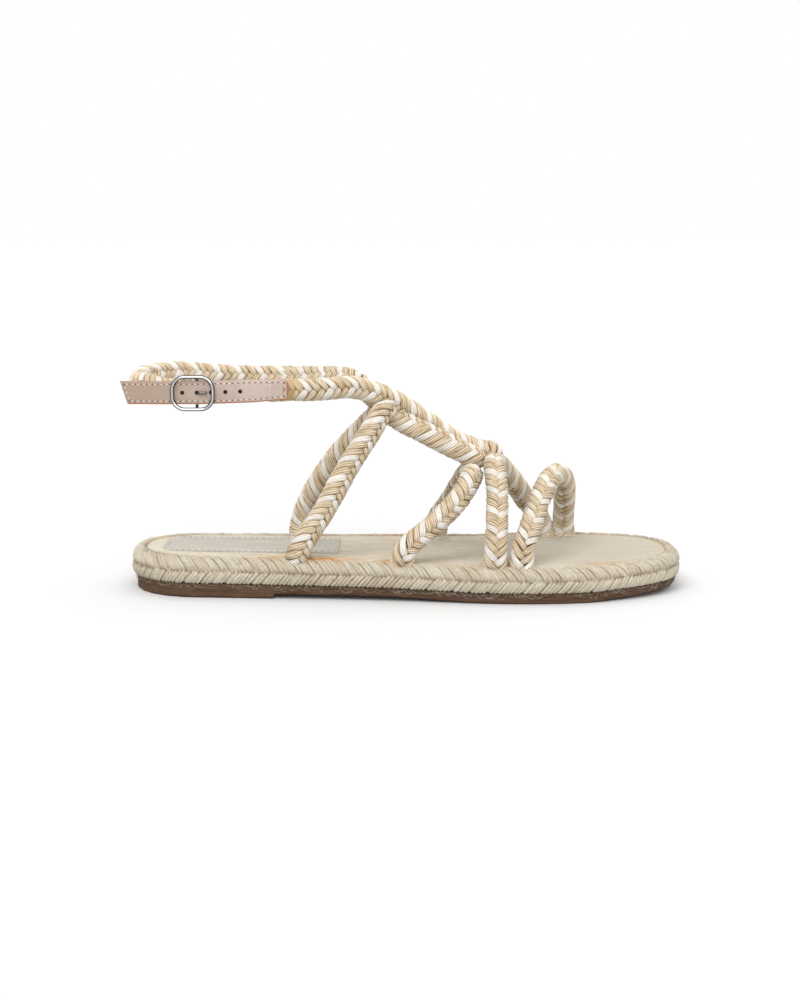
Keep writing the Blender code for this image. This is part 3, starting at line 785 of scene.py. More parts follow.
def closing(from_end, reach):
    """How wide a cord is near an end that closes to a rounded tip."""
    return 0.06 + 0.94 * np.clip((from_end - 0.2) / reach, 0, 1) ** 0.5


def narrowing(s, length, ends):
    """How wide a cord is at distances s along it, for what is done to its ends."""
    narrow = np.ones(len(s)) if ends[0] == "sunk" else closing(s, SUNK_ROUND)
    for end, from_end in zip(ends, (s, length - s)):
        if end == "sunk":
            narrow *= 0.6 + 0.4 * np.clip(from_end / SUNK_ROUND, 0, 1) ** 0.5
            narrow *= 1 + SWELL * np.exp(-(((from_end - SWELL_AT) / SWELL_REACH) ** 2))
    if ends[1] == "tuck":
        narrow *= closing(length - s, TUCK_LENGTH)
    return narrow


def flatness(s, ends, least):
    """How thick a cord stays where its first end is pressed flat, from the least share to 1."""
    if ends[0] == "sunk":
        return np.ones(len(s))
    return least + (1 - least) * np.clip(s / FLAT_LENGTH, 0, 1)


def braided_cord(name, route, turns, point, phase, pitch, ends, material, core_material):
    """One cord: yarns that climb from a front seam round each side to a back seam, a core, and hairs."""
    line = laid_line(route, ends)
    stations = np.arange(len(line)) * CORD_STEP
    length = stations[-1]
    seam, across, outward = cord_frames(line, turns)
    t = np.linspace(0, 1, 15)
    dip = eased(np.minimum(t, 1 - t) / 0.2)
    theta = (t * (math.pi + 2 * SEAM_OVERLAP) - SEAM_OVERLAP)[:, None]
    climb = point * BRAID_RISE * theta[:, 0] / math.pi
    paths, outs, widths, heights, white, shade, glue = [], [], [], [], [], [], []
    for side, shift in ((1, 0.0), (-1, 0.5)):
        for number in range(-4, int(length / pitch) + 4):
            s = (number + shift) * pitch - climb + seeded.normal(0, YARN_WANDER)
            # A yarn that would lie wholly past an end is left out.
            if s.max() < 0.6 or s.min() > length - 0.6:
                continue
            s = np.clip(s, 0.2, length - 0.2)
            uneven = seeded.normal(0, 1)
            centre, n, b, out = (read_line(s, stations, part) for part in (line, seam, across, outward))
            narrow = narrowing(s, length, ends)
            radius = (YARN_LOW + (YARN_HIGH - YARN_LOW) * dip + YARN_UNEVEN * uneven) * narrow
            ring = n * np.cos(theta) + b * side * np.sin(theta)
            offset = ring * radius[:, None]
            pressed = (offset * out).sum(1) * (1 - flatness(s, ends, FLAT_SHARE))
            paths.append(centre + offset - out * pressed[:, None])
            outs.append(ring)
            widths.append(YARN_WIDE * (0.62 + 0.38 * dip) * narrow * (1 + 0.05 * uneven))
            heights.append(YARN_TALL * (0.55 + 0.45 * dip) * narrow)
            white.append((number + phase) % WHITE_EVERY == 0)
            shade.append(seeded.uniform(0, 1))
            past = np.clip(s - GLUE_START, 0, None) / GLUE_REACH
            glue.append(np.exp(-(past**2)) * (ends[0] == "glued"))
    shape = (np.array(paths), np.array(outs), np.array(widths), np.array(heights))
    values = {"white": white, "shade": shade, "glue": glue}
    yarns = strand_bundle(name, *shape, material, RAFFIA_PLIES, values)
    core = cord_tube(name + "_core", line, core_material, ends, outward)
    return yarns, core, cord_hairs(name + "_hairs", line, seam, across, material)


def cord_hairs(name, line, seam, across, material):
    """Fine hairs that stand off a cord's yarns."""
    count = int(len(line) * CORD_HAIRS_PER_POINT)
    bare_start, bare_end = 20, 30
    t = np.linspace(0, 1, 6)[:, None]
    paths, normals = [], []
    for _ in range(count):
        at = int(seeded.integers(bare_start, len(line) - bare_end))
        angle = seeded.uniform(0, 2 * math.pi) + t * seeded.normal(0, 0.5)
        ring = seam[at] * np.cos(angle) + across[at] * np.sin(angle)
        stand = YARN_HIGH + 0.8 + seeded.uniform(0.3, 1.3) * t
        reach = seeded.normal(0, 1.8) * t
        paths.append(line[at] + ring * stand + unit(line[at + 1] - line[at]) * reach)
        normals.append(ring)
    size = np.full((count, len(t)), CORD_HAIR_RADIUS)
    white = seeded.uniform(0, 1, count) > 0.6
    values = {"white": white, "shade": seeded.uniform(0.4, 1, count), "glue": np.zeros(count)}
    return strand_bundle(name, np.array(paths), np.array(normals), size, size, material, ONE_HAIR, values)


def cord_tube(name, line, material, ends, outward):
    """Plain round core under the yarns, thinner at a flat, glued or tucked end."""
    every, sides, tip = 4, 10, 0.15
    rings, flat_way = line[::every], outward[::every]
    side = np.cross(unit(np.gradient(rings, axis=0)), flat_way)
    run = np.arange(len(rings)) * every * CORD_STEP
    thick = np.full(len(rings), YARN_LOW)
    if ends[0] != "sunk":
        thick *= tip + (1 - tip) * np.clip(run / 4, 0, 1)
    if ends[1] == "tuck":
        thick *= tip + (1 - tip) * np.clip((run[-1] - run) / 10, 0, 1)
    flat = thick * flatness(run, ends, FLAT_SHARE * 0.8)
    angles = np.linspace(0, 2 * math.pi, sides, endpoint=False)
    verts = (
        rings[:, None]
        + flat_way[:, None] * (flat[:, None] * np.cos(angles))[..., None]
        + side[:, None] * (thick[:, None] * np.sin(angles))[..., None]
    )
    return mesh_piece(name, verts.reshape(-1, 3), closed_rings(len(rings), sides), material)


def all_cords():
    """The upper: six cords, which stand for the one solid."""
    yarn, core = raffia(), cord_core()
    for name, *laid in CORDS:
        yarns, inner, hairs = braided_cord(f"upper_{name}", *laid, yarn, core)
        stands_for(yarns, "upper")
        stands_for(inner, "upper")
        rides(hairs)


# Jute sole and footbed


JUTE_PITCH = 4.0
# The rim's section from the footbed seam over the top and down the wall: place on it, inset from the outline,
# and height as a share of the way from rubber to footbed.
SECTION = (
    (0.00, 7.4, 0.86),
    (0.10, 6.2, 0.965),
    (0.22, 4.6, 0.985),
    (0.36, 2.8, 0.93),
    (0.50, 1.2, 0.78),
    (0.60, 0.75, 0.62),
    (0.68, 0.95, 0.45),
    (0.80, 0.55, 0.28),
    (0.90, 0.95, 0.12),
    (1.00, 2.2, 0.0),
)
ROWS_MEET = 0.68
# The rows of jute yarn: name, first and last place on the section, how far along the edge a yarn's first and
# last point lie from its middle, and how far the row is shifted, in pitches.
JUTE_ROWS = (
    ("upper", 0.0, 0.70, -11.5, 1.3, 0.0),
    ("lower", 0.66, 1.0, 1.4, -4.0, 0.5),
)
PAIR_APART = 0.225
JUTE_SPREAD = 0.285
STRAY_FIBRES = 560
STRAY_RADIUS = 0.05
# Where glue shows: x, y, reach along the foot, strength.
GLUE_SPOTS = (
    (-35.0, -30.0, 12.0, 1.5),
    (-62.0, -29.0, 9.0, 0.6),
    (-7.0, -34.0, 5.0, 1.0),
    (20.0, -36.0, 8.0, 0.3),
    (36.0, -39.0, 5.0, 0.6),
    (88.0, -34.0, 8.0, 0.35),
    (60.0, 39.0, 8.0, 0.5),
    (-5.0, 30.0, 10.0, 0.5),
)
GLUE_ACROSS = 9.0
# The footbed's rolled edge from below: inset from the outline, and how far it lies under the footbed's level.
FOOTBED_EDGE = ((6.6, 1.5), (6.8, 0.8), (7.2, 0.3), (7.8, 0.08), (8.6, 0.02))
FOOTBED_STAIN = (1.0, 1.0, 1.0, 1.0, 0.9, 0.4)
# The hollow of the footbed: share of the way from its middle to its edge, and depth there.
HOLLOW_SHARES = (0.0, 0.1, 0.22, 0.36, 0.5, 0.64, 0.76, 0.86, 0.94, 1.0)
HOLLOW_DEPTHS = (0.34, 0.34, 0.33, 0.3, 0.24, 0.16, 0.08, 0.0, -0.06, 0.02)


def rim_point(run, place, lift):
    """Points on the rim's section, raised by lift, and the outward directions there."""
    places, *columns = np.array(SECTION).T
    before, after = place - 0.02, place + 0.02
    inset, level = (np.interp(place, places, column) for column in columns)
    d_inset, d_level = (np.interp(after, places, c) - np.interp(before, places, c) for c in columns)
    at, inward = edge.at(run)
    low = height("rubber_top", at[..., 0])
    tall = height("footbed", at[..., 0]) - low
    slope = unit(np.stack((d_inset, d_level * tall), -1))
    normal = np.concatenate((inward * slope[..., 1:], -slope[..., :1]), -1)
    flat = at + inward * inset[..., None]
    spot = np.concatenate((flat, (low + level * tall)[..., None]), -1)
    return spot + normal * lift[..., None], normal


def glue_stain(x, y):
    """How much glue shows at a place, 0 to 1."""
    total = np.zeros(np.shape(x))
    for glue_x, glue_y, reach, strength in GLUE_SPOTS:
        total += strength * np.exp(-(((x - glue_x) / reach) ** 2) - ((y - glue_y) / GLUE_ACROSS) ** 2)
    return np.clip(total, 0, 1)


def jute_rim(material, body_material):
    """Two rows of slanted yarns that meet half way up the wall, the upper row wrapping over the rim."""
    strands = round(edge.length / JUTE_PITCH)
    pitch = edge.length / strands
    count = 2 * strands
    t = np.linspace(0, 1, 14)
    dip = eased(np.minimum(t, 1 - t) / 0.14)
    runs = np.repeat(np.arange(strands) * pitch, 2) + np.tile((-PAIR_APART, PAIR_APART), strands) * pitch
    for row, first, last, slide_first, slide_last, shift in JUTE_ROWS:
        bend = t**0.75 if row == "upper" else t
        slide = slide_first + (slide_last - slide_first) * bend
        sway = np.repeat(seeded.normal(0, 0.4, (strands, 1)), 2, axis=0)
        run = runs[:, None] + shift * pitch + slide + sway + seeded.normal(0, 0.08, (count, 1))
        places = np.broadcast_to(first + (last - first) * t, run.shape)
        lift = 0.75 * dip - 1.1 + seeded.normal(0, 0.08, (count, 1))
        paths, normals = rim_point(run, places, lift)
        across = np.linalg.norm(np.gradient(paths, axis=1), axis=2)
        lean = np.gradient(run, axis=1) / (across + 1e-9)
        spread = np.sqrt(np.clip(1 - lean**2, 0.12, 1))
        widths = pitch * JUTE_SPREAD * spread * seeded.uniform(0.88, 1.12, (count, 1))
        heights = (0.6 + 0.45 * dip) * np.clip(0.5 + places / 0.6, 0, 1)
        near_seam = np.clip(1.6 - places / 0.26, 0, 1)
        seam_line = np.clip(1.4 - places / 0.12, 0, 1)
        values = {
            "shade": seeded.uniform(0, 1, count),
            "stain": np.maximum(near_seam * glue_stain(paths[..., 0], paths[..., 1]), 0.5 * seam_line),
            "soft": np.clip(1.3 - places / 0.36, 0, 1),
            "middle": np.exp(-(((places - ROWS_MEET) / 0.035) ** 2)),
        }
        shape = (paths, normals, widths, heights)
        piece = strand_bundle(f"jute_{row}_row", *shape, material, JUTE_PLIES, values)
        stands_for(piece, "jute_midsole")
    stands_for(rim_body(body_material), "jute_midsole")


def rim_body(material):
    """The solid body under the jute yarns, closed over top and bottom."""
    count = 260
    runs = np.arange(count) * edge.length / count
    places = np.linspace(0, 1, 14)
    rings = [rim_point(runs, np.full(count, place), np.full(count, -0.55))[0] for place in places]
    faces = closed_rings(len(rings), count, turned=True)
    return mesh_piece("jute_body", np.concatenate(rings), faces, material)


def footbed_hollow(x, y):
    """How far the footbed lies below its edge level at a place."""
    half = (outline_y("medial", x) + outline_y("lateral", x)) / 2 - 8.0
    share = min(1.0, abs(y - middle_y(x)) / max(half, 1.0))
    return float(np.interp(share, HOLLOW_SHARES, HOLLOW_DEPTHS))


def footbed_top(x, y):
    """Height of the footbed at a place."""
    return height("footbed", x) - footbed_hollow(x, y)


def footbed(material):
    """Linen footbed: a soft pad with a rolled edge, a little hollow along its middle."""
    count = 300
    at, inward = edge.at(np.arange(count) * edge.length / count)
    flats = [at + inward * inset for inset, _ in FOOTBED_EDGE]
    drops = [drop for _, drop in FOOTBED_EDGE]
    last = flats[-1]
    spine_x = np.clip(last[:, 0], HEEL_X + 44, TOE_X - 50)
    spine = np.stack((spine_x, [middle_y(x) for x in spine_x]), 1)
    flats += [spine + (last - spine) * share for share in HOLLOW_SHARES[-2:0:-1]]
    drops += HOLLOW_DEPTHS[-2:0:-1]
    rings = []
    for flat, drop in zip(flats, drops):
        rings.append(np.column_stack((flat, height("footbed", flat[:, 0]) - drop)))
    verts = np.concatenate(rings)
    faces = ring_quads(len(rings), count).tolist()
    first = (len(rings) - 1) * count
    for i in range(count // 2 - 1):
        faces.append((first + i, first + i + 1, first + count - 2 - i, first + count - 1 - i))
    faces.append(tuple(range(count))[::-1])
    near = [*FOOTBED_STAIN, *[0.0] * (len(rings) - len(FOOTBED_STAIN))]
    stain = np.repeat(near, count) * glue_stain(verts[:, 0], verts[:, 1])
    stands_for(mesh_piece("footbed", verts, faces, material, None, {"stain": stain}), "insole")


def stray_fibres(material):
    """Loose jute hairs along the rubber edge and on the rim."""
    t = np.linspace(0, 1, 9)
    paths, normals = [], []
    for _ in range(STRAY_FIBRES):
        run = seeded.uniform(0, edge.length)
        place = 1.0 if seeded.uniform() < 0.6 else seeded.uniform(0.1, 0.95)
        reach = seeded.uniform(0.8, 7.0)
        bend = seeded.normal(0, 0.8)
        way = seeded.choice((-1, 1))
        lift = 0.2 + np.sin(math.pi * t) * seeded.uniform(0.3, 1.2)
        spot, normal = rim_point(run + t * reach * way + bend * t**2, np.full(len(t), place), lift)
        fall = seeded.uniform(0.2, 2.4) if place == 1.0 else seeded.normal(0, 0.8)
        spot[:, 2] -= fall * np.sin(math.pi * t * seeded.uniform(0.3, 0.75))
        paths.append(spot)
        normals.append(normal)
    size = np.full((STRAY_FIBRES, len(t)), STRAY_RADIUS)
    bare = np.zeros(STRAY_FIBRES)
    values = {"shade": seeded.uniform(0.4, 1, STRAY_FIBRES), "stain": bare, "soft": bare, "middle": bare}
    shape = (np.array(paths), np.array(normals), size, size)
    rides(strand_bundle("jute_hairs", *shape, material, ONE_HAIR, values))


# Leather, steel, label and rubber, modelled by hand


TONGUE_X = (-129.4, -53.4)
TONGUE_Y = -24.0
TONGUE_BOW = 1.2
TONGUE_THICKNESS = 1.8
TONGUE_HEIGHT = 10.4
TONGUE_FRONT_HEIGHT = 9.0
TONGUE_TAPER_X = -70.0
TONGUE_SKEW = 3.3
TONGUE_SKEW_REACH = 20.0
TONGUE_CORNER = 1.8
TONGUE_LINE = ((-129.4, 93.8), (-110.0, 93.8), (-90.0, 93.95), (-70.0, 94.6), (-53.4, 95.25))
EDGE_SKIVED = 0.30
EDGE_SKIVED_REACH = 0.45
CHANNEL_DEPTH = 0.14
CHANNEL_REACH = 0.5
CORD_SEAM_X = -61.5
HOLE_X = (-101.2, -94.6, -88.2, -81.7, -75.0)
HOLE_RADIUS = 0.95
PRONG_HOLE = 1
BUCKLE_CENTRE = (-96.4, 93.8)
BUCKLE_LENGTH = 20.0
BUCKLE_HEIGHT = 16.4
BUCKLE_CORNER = 5.6
WIRE_RADIUS = 0.85
BAR_RADIUS = 0.75
BAR_BEND = 1.4
PRONG_RADIUS = 0.6
PRONG_TIP_X = -89.8
FOLD_ROUTE = ((-121.4, -17.2), (-116.8, -20.3), (-110.5, -22.3), (-104.0, -23.0))
FOLD_THICKNESS = 1.0
FOLD_HEIGHT = 9.6
FOLD_SLOT = (7.0, 7.0, 3.2)
CLEARANCE = 0.3
STITCH_INSET = 1.35
STITCH_PITCH = 2.55
STITCH_LENGTH = 1.75
STITCH_THICKNESS = 0.42
NEEDLE_RADIUS = 0.27
LABEL_X = (-113.5, -31.5)
LABEL_HALF_WIDTH = 17.0
LABEL_CORNER = 9.0
LABEL_THICKNESS = 0.5
LABEL_STITCH_INSET = 1.6
LABEL_STITCH_PITCH = 2.9


def start_fresh():
    """Object mode, with nothing selected."""
    if bpy.context.object and bpy.context.object.mode != "OBJECT":
        bpy.ops.object.mode_set(mode="OBJECT")
    bpy.ops.object.select_all(action="DESELECT")


def hold(obj):
    """Only this object selected and active."""
    start_fresh()
    obj.select_set(True)
    bpy.context.view_layer.objects.active = obj


def settle(obj, name, material, angle):
    """Puts the object's place into its mesh, names it, smooths it and gives it its finish."""
    hold(obj)
    bpy.ops.object.transform_apply(location=True, rotation=True, scale=True)
    bpy.ops.object.shade_smooth_by_angle(angle=math.radians(angle))
    obj.name = name
    obj.data.materials.clear()
    obj.data.materials.append(material)
    return obj


def apply(obj, kind, **settings):
    """Adds a modifier with its settings and applies it."""
    hold(obj)
    change = obj.modifiers.new(kind.lower(), kind)
    for key, value in settings.items():
        setattr(change, key, value)
    bpy.ops.object.modifier_apply(modifier=change.name)


def thicken(obj, thickness):
    """Gives a sheet its thickness, and turns its faces outwards."""
    apply(obj, "SOLIDIFY", thickness=thickness * MM, offset=0.0)
    mend_normals(obj)


def cut(obj, tool):
    """Cuts the tool's shape out of the object and clears the tool away."""
    apply(obj, "BOOLEAN", operation="DIFFERENCE", solver="EXACT", object=tool)
    bpy.data.objects.remove(tool, do_unlink=True)


def mend_normals(obj):
    """Merges doubles and turns all faces outwards."""
    hold(obj)
    bpy.ops.object.mode_set(mode="EDIT")
    bpy.ops.mesh.select_all(action="SELECT")
    bpy.ops.mesh.remove_doubles(threshold=1e-6)
    bpy.ops.mesh.normals_make_consistent(inside=False)
    bpy.ops.object.mode_set(mode="OBJECT")


def points_of(obj):
    """A mesh's points in millimetres."""
    points = np.zeros(len(obj.data.vertices) * 3)
    obj.data.vertices.foreach_get("co", points)
    return points.reshape(-1, 3) / MM


def reshape(obj, place):
    """Moves every point of a mesh by a rule on its coordinates in millimetres."""
    moved = np.array([place(*point) for point in points_of(obj)]) * MM
    obj.data.vertices.foreach_set("co", moved.ravel())
    obj.data.update()


def wire(name, points, radius, material, closed=False, taper=None, fineness=4):
    """Round wire bent along points, as a mesh."""
    start_fresh()
    bend = bpy.data.curves.new(name, "CURVE")
    bend.dimensions = "3D"
    bend.bevel_depth = radius * MM
    bend.bevel_resolution = fineness
    bend.use_fill_caps = not closed
    bend.twist_mode = "MINIMUM"
    spline = bend.splines.new("POLY")
    spline.points.add(len(points) - 1)
    for k, point in enumerate(points):
        spline.points[k].co = (*(np.asarray(point) * MM), 1)
        spline.points[k].radius = 1.0 if taper is None else taper[k]
    spline.use_cyclic_u = closed
    obj = bpy.data.objects.new(name, bend)
    bpy.context.scene.collection.objects.link(obj)
    hold(obj)
    bpy.ops.object.convert(target="MESH")
    obj = bpy.context.object
    mend_normals(obj)
    return settle(obj, name, material, 60)


def copies(name, model, places, material):
    """One mesh of many copies of a small model, which goes. places are (origin, along, normal)."""
    points = points_of(model)
    shape = [tuple(face.vertices) for face in model.data.polygons]
    verts, faces = [], []
    for origin, along, normal in places:
        along = unit(np.asarray(along, float))
        normal = unit(normal - along * np.dot(normal, along))
        first = len(verts) * len(points)
        verts.append(origin + points @ np.array((along, np.cross(normal, along), normal)))
        faces += [tuple(first + i for i in face) for face in shape]
    bpy.data.objects.remove(model, do_unlink=True)
    return mesh_piece(name, np.concatenate(verts), faces, material)


def stitch_model():
    """One thread stitch, plump in the middle and pulled into the leather at its ends."""
    start_fresh()
    lying = (0, math.pi / 2, 0)
    bpy.ops.mesh.primitive_uv_sphere_add(segments=8, ring_count=8, radius=0.5 * MM, rotation=lying)
    model = bpy.context.object
    model.scale = (STITCH_THICKNESS, STITCH_THICKNESS, STITCH_LENGTH)
    bpy.ops.object.transform_apply(location=True, rotation=True, scale=True)
    reshape(model, lambda x, y, z: (x, y, z * 0.9 + 0.08 - 0.16 * (2 * x / STITCH_LENGTH) ** 2))
    return model


def hole_model():
    """One needle hole: a shallow dimple, dark with painted shadow."""
    start_fresh()
    bpy.ops.mesh.primitive_uv_sphere_add(segments=8, ring_count=4, radius=NEEDLE_RADIUS * MM)
    model = bpy.context.object
    reshape(model, lambda x, y, z: (x * 1.7, y * 0.95, z * 0.25))
    return model


def stitch_places(line, pitch):
    """Even stitches along an open line of (point, normal) pairs, and the needle holes between them."""
    points, normals = (np.array(column, float) for column in zip(*line))
    run = run_along(points)
    count = max(1, round(run[-1] / pitch))

    def places(at):
        along = read_line(at + 0.4, run, points) - read_line(at - 0.4, run, points)
        return list(zip(read_line(at, run, points), along, read_line(at, run, normals)))

    return places((np.arange(count) + 0.5) * run[-1] / count), places(np.arange(count + 1) * run[-1] / count)


def sew(name, lines, thread_finish, hole_shade_finish, pitch):
    """Stitches and their holes along lines, as two joined meshes."""
    stitches, holes = [], []
    for line in lines:
        more_stitches, more_holes = stitch_places(line, pitch)
        stitches += more_stitches
        holes += more_holes
    rides(copies(f"{name}_stitches", stitch_model(), stitches, thread_finish))
    rides(copies(f"{name}_needle_holes", hole_model(), holes, hole_shade_finish))


def tongue_y(x):
    """The leather strap bows a little outwards between its ends."""
    middle = sum(TONGUE_X) / 2
    half = (TONGUE_X[1] - TONGUE_X[0]) / 2
    return TONGUE_Y - TONGUE_BOW * (1 - ((x - middle) / half) ** 2)


def tongue_middle(x):
    """Height of the leather strap's middle line."""
    return float(np.interp(x, *zip(*TONGUE_LINE)))


def tongue_half(x):
    """Half the leather strap's height at x."""
    return float(np.interp(x, (TONGUE_TAPER_X, TONGUE_X[1]), (TONGUE_HEIGHT, TONGUE_FRONT_HEIGHT))) / 2


def slanted(x, share):
    """x on the strap, its free end cut on the slant, at a share from its lower edge, -1, to its upper, 1."""
    return x + TONGUE_SKEW * max(0.0, 1 - (x - TONGUE_X[0]) / TONGUE_SKEW_REACH) * (0.5 - share / 2)


def tongue_point(x, share, lift):
    """A place on the strap's outer face, raised by lift."""
    level = tongue_middle(x) + share * tongue_half(x)
    return np.array((slanted(x, share), tongue_y(x) - TONGUE_THICKNESS / 2 - lift, level))


def tongue(leather_finish, edge_finish):
    """Leather strap end: punched, edge-painted, pressed down along its stitching."""
    x0, x1 = TONGUE_X
    upright = (math.pi / 2, 0, 0)
    start_fresh()
    bpy.ops.mesh.primitive_grid_add(x_subdivisions=100, y_subdivisions=18, size=1, rotation=upright)
    strap = bpy.context.object
    bpy.ops.object.transform_apply(location=True, rotation=True, scale=True)

    def lay(x, y, z):
        """Bends the flat grid to the strap, with rounded corners at the sewn end."""
        x = x0 + (x * MM + 0.5) * (x1 - x0)
        share = 2 * z * MM
        half = tongue_half(x)
        into_corner = max(0.0, TONGUE_CORNER - (x1 - x))
        half -= TONGUE_CORNER - math.sqrt(max(0.0, TONGUE_CORNER**2 - into_corner**2))
        return slanted(x, share), tongue_y(x), tongue_middle(x) + share * half

    def press(x, y, z):
        """Edges are skived thinner, and the thread pulls a shallow channel."""
        half = tongue_half(x)
        from_edge = half * (1 - min(1.0, abs(z - tongue_middle(x)) / half))
        from_edge = min(from_edge, x1 - x, max(0.0, x - x0 - 0.3))
        thin = EDGE_SKIVED * math.exp(-((from_edge / EDGE_SKIVED_REACH) ** 2))
        channel = CHANNEL_DEPTH * math.exp(-(((from_edge - STITCH_INSET) / CHANNEL_REACH) ** 2))
        return x, y - math.copysign(thin + channel, y - tongue_y(x)), z

    reshape(strap, lay)
    thicken(strap, TONGUE_THICKNESS)
    reshape(strap, press)
    for x in HOLE_X:
        start_fresh()
        bpy.ops.mesh.primitive_cylinder_add(
            vertices=28,
            radius=HOLE_RADIUS * MM,
            depth=8 * MM,
            location=(x * MM, tongue_y(x) * MM, tongue_middle(x) * MM),
            rotation=upright,
        )
        cut(strap, bpy.context.object)
    settle(strap, "leather_tongue", leather_finish, 40)
    strap.data.materials.append(edge_finish)
    for face in strap.data.polygons:
        if abs(face.normal.y) < 0.8 or face.normal.z < -0.22 or face.normal.x > 0.22:
            face.material_index = 1
    stands_for(strap, "strap_tongue")


def hole_shadow_discs(finish):
    """Dark discs of painted shadow, set in each punched hole but the prong's."""
    start_fresh()
    bpy.ops.mesh.primitive_uv_sphere_add(segments=20, ring_count=8, radius=(HOLE_RADIUS + 0.1) * MM)
    model = bpy.context.object
    reshape(model, lambda x, y, z: (x, y, z * 0.25))
    places = []
    for number, x in enumerate(HOLE_X):
        if number != PRONG_HOLE:
            # Painted shadow: a dark disc inside the hole, near the strap's inner face.
            inner = tongue_y(x) + TONGUE_THICKNESS / 2 - 0.35
            places.append(((x, inner, tongue_middle(x)), (1.0, 0.0, 0.0), OUTWARDS))
    rides(copies("tongue_hole_shadow_discs", model, places, finish))


def tongue_lines():
    """Where the strap is sewn: round its edge, and across it where it holds the cord."""
    x0, x1 = TONGUE_X
    sunk = -0.1
    rows = []
    for sign in (1, -1):
        row = []
        for x in np.linspace(x0 + 1.5, x1 - STITCH_INSET - 0.5, 60):
            share = sign * (1 - STITCH_INSET / tongue_half(x))
            row.append((tongue_point(x, share, sunk), OUTWARDS))
        rows.append(row)
    for x in (x0 + 1.5, CORD_SEAM_X, x1 - STITCH_INSET - 0.3):
        rows.append([(tongue_point(x, share, sunk), OUTWARDS) for share in np.linspace(-0.66, 0.66, 9)])
    return rows


def bar_place():
    """Where the buckle's centre bar stands, behind the strap at its prong hole."""
    x = HOLE_X[PRONG_HOLE] - 0.4
    inner_face = tongue_y(x) + TONGUE_THICKNESS / 2
    return x, inner_face + CLEARANCE + BAR_RADIUS + CLEARANCE + 2 * PRONG_RADIUS


def buckle(steel_finish, prong_painted_dark_finish):
    """Rounded steel frame with its centre bar behind the strap, and the prong hung on it."""
    cx, cz = BUCKLE_CENTRE
    front_y = tongue_y(cx) - TONGUE_THICKNESS / 2 - CLEARANCE - WIRE_RADIUS
    half_x = BUCKLE_LENGTH / 2 - WIRE_RADIUS
    half_z = BUCKLE_HEIGHT / 2 - WIRE_RADIUS
    loop = []
    for sx, sz, start in ((1, 1, 0), (-1, 1, 90), (-1, -1, 180), (1, -1, 270)):
        for angle in np.radians(np.linspace(start, start + 90, 13)):
            x = cx + sx * (half_x - BUCKLE_CORNER) + BUCKLE_CORNER * math.cos(angle)
            z = cz + sz * (half_z - BUCKLE_CORNER) + BUCKLE_CORNER * math.sin(angle)
            loop.append((x, front_y, z))
    rim = wire("buckle_rim", loop, WIRE_RADIUS, steel_finish, closed=True, fineness=6)
    stands_for(rim, "buckle_frame")

    x, y = bar_place()
    top, low = cz + half_z, cz - half_z
    route = [(x, front_y, top), (x, y - BAR_BEND, top), (x, y - 0.4, top - 0.4), (x, y, top - BAR_BEND)]
    route += [(x, y, low + BAR_BEND), (x, y - 0.4, low + 0.4), (x, y - BAR_BEND, low), (x, front_y, low)]
    stands_for(wire("buckle_bar", route, BAR_RADIUS, steel_finish), "buckle_frame")

    z = tongue_middle(HOLE_X[PRONG_HOLE])
    radius = BAR_RADIUS + CLEARANCE + PRONG_RADIUS
    turns = np.linspace(0, 2 * math.pi, 32, endpoint=False)
    loop = [(x + radius * math.cos(a), y + radius * math.sin(a), z) for a in turns]
    stands_for(wire("prong_ring", loop, PRONG_RADIUS, prong_painted_dark_finish, closed=True), "buckle_prong")

    hole_x = HOLE_X[PRONG_HOLE]
    face_y = tongue_y(hole_x) - TONGUE_THICKNESS / 2 - CLEARANCE - PRONG_RADIUS
    route = [(x, y - radius, z), (hole_x - 0.1, face_y + 2.2, z), (hole_x + 0.1, face_y + 0.9, z)]
    route += [(hole_x + 0.9, face_y - 0.1, z), (PRONG_TIP_X, face_y - 0.2, z)]
    line = smooth_line(route, 0.35)
    taper = np.ones(len(line))
    taper[-2:] = (0.9, 0.55)
    stands_for(wire("prong_pin", line, PRONG_RADIUS, prong_painted_dark_finish, taper=taper), "buckle_prong")


def fold(leather_finish, edge_finish):
    """Short strap folded round the buckle's bar; its tail runs back to the cord's other end, to which it is
    sewn, but no stitches are drawn for it.
    """
    bar_x, bar_y = bar_place()
    z = tongue_middle(bar_x)
    radius = BAR_RADIUS + CLEARANCE + FOLD_THICKNESS / 2
    turns = np.radians(np.linspace(-90, 180, 13))
    line = [*FOLD_ROUTE, (bar_x - 3.0, bar_y - radius)]
    line += [(bar_x + radius * math.cos(a), bar_y + radius * math.sin(a)) for a in turns]
    line = smooth_line([(x, y, z) for x, y in line], 0.7)
    start_fresh()
    bpy.ops.mesh.primitive_grid_add(x_subdivisions=len(line) - 1, y_subdivisions=12, size=2)
    strip = bpy.context.object

    def bend(u, v, w):
        k = (u * MM + 1) / 2 * (len(line) - 1)
        x, y = (np.interp(k, np.arange(len(line)), line[:, i]) for i in range(2))
        return x, y, z + v * MM * FOLD_HEIGHT / 2

    reshape(strip, bend)
    thicken(strip, FOLD_THICKNESS)
    start_fresh()
    place, sides = ([value * MM for value in values] for values in ((bar_x, bar_y, z), FOLD_SLOT))
    bpy.ops.mesh.primitive_cube_add(size=1, location=place, scale=sides)
    cut(strip, bpy.context.object)
    settle(strip, "leather_fold", leather_finish, 40)
    strip.data.materials.append(edge_finish)
    for face in strip.data.polygons:
        if abs(face.normal.z) > 0.7:
            face.material_index = 1
    stands_for(strip, "buckle_fold")


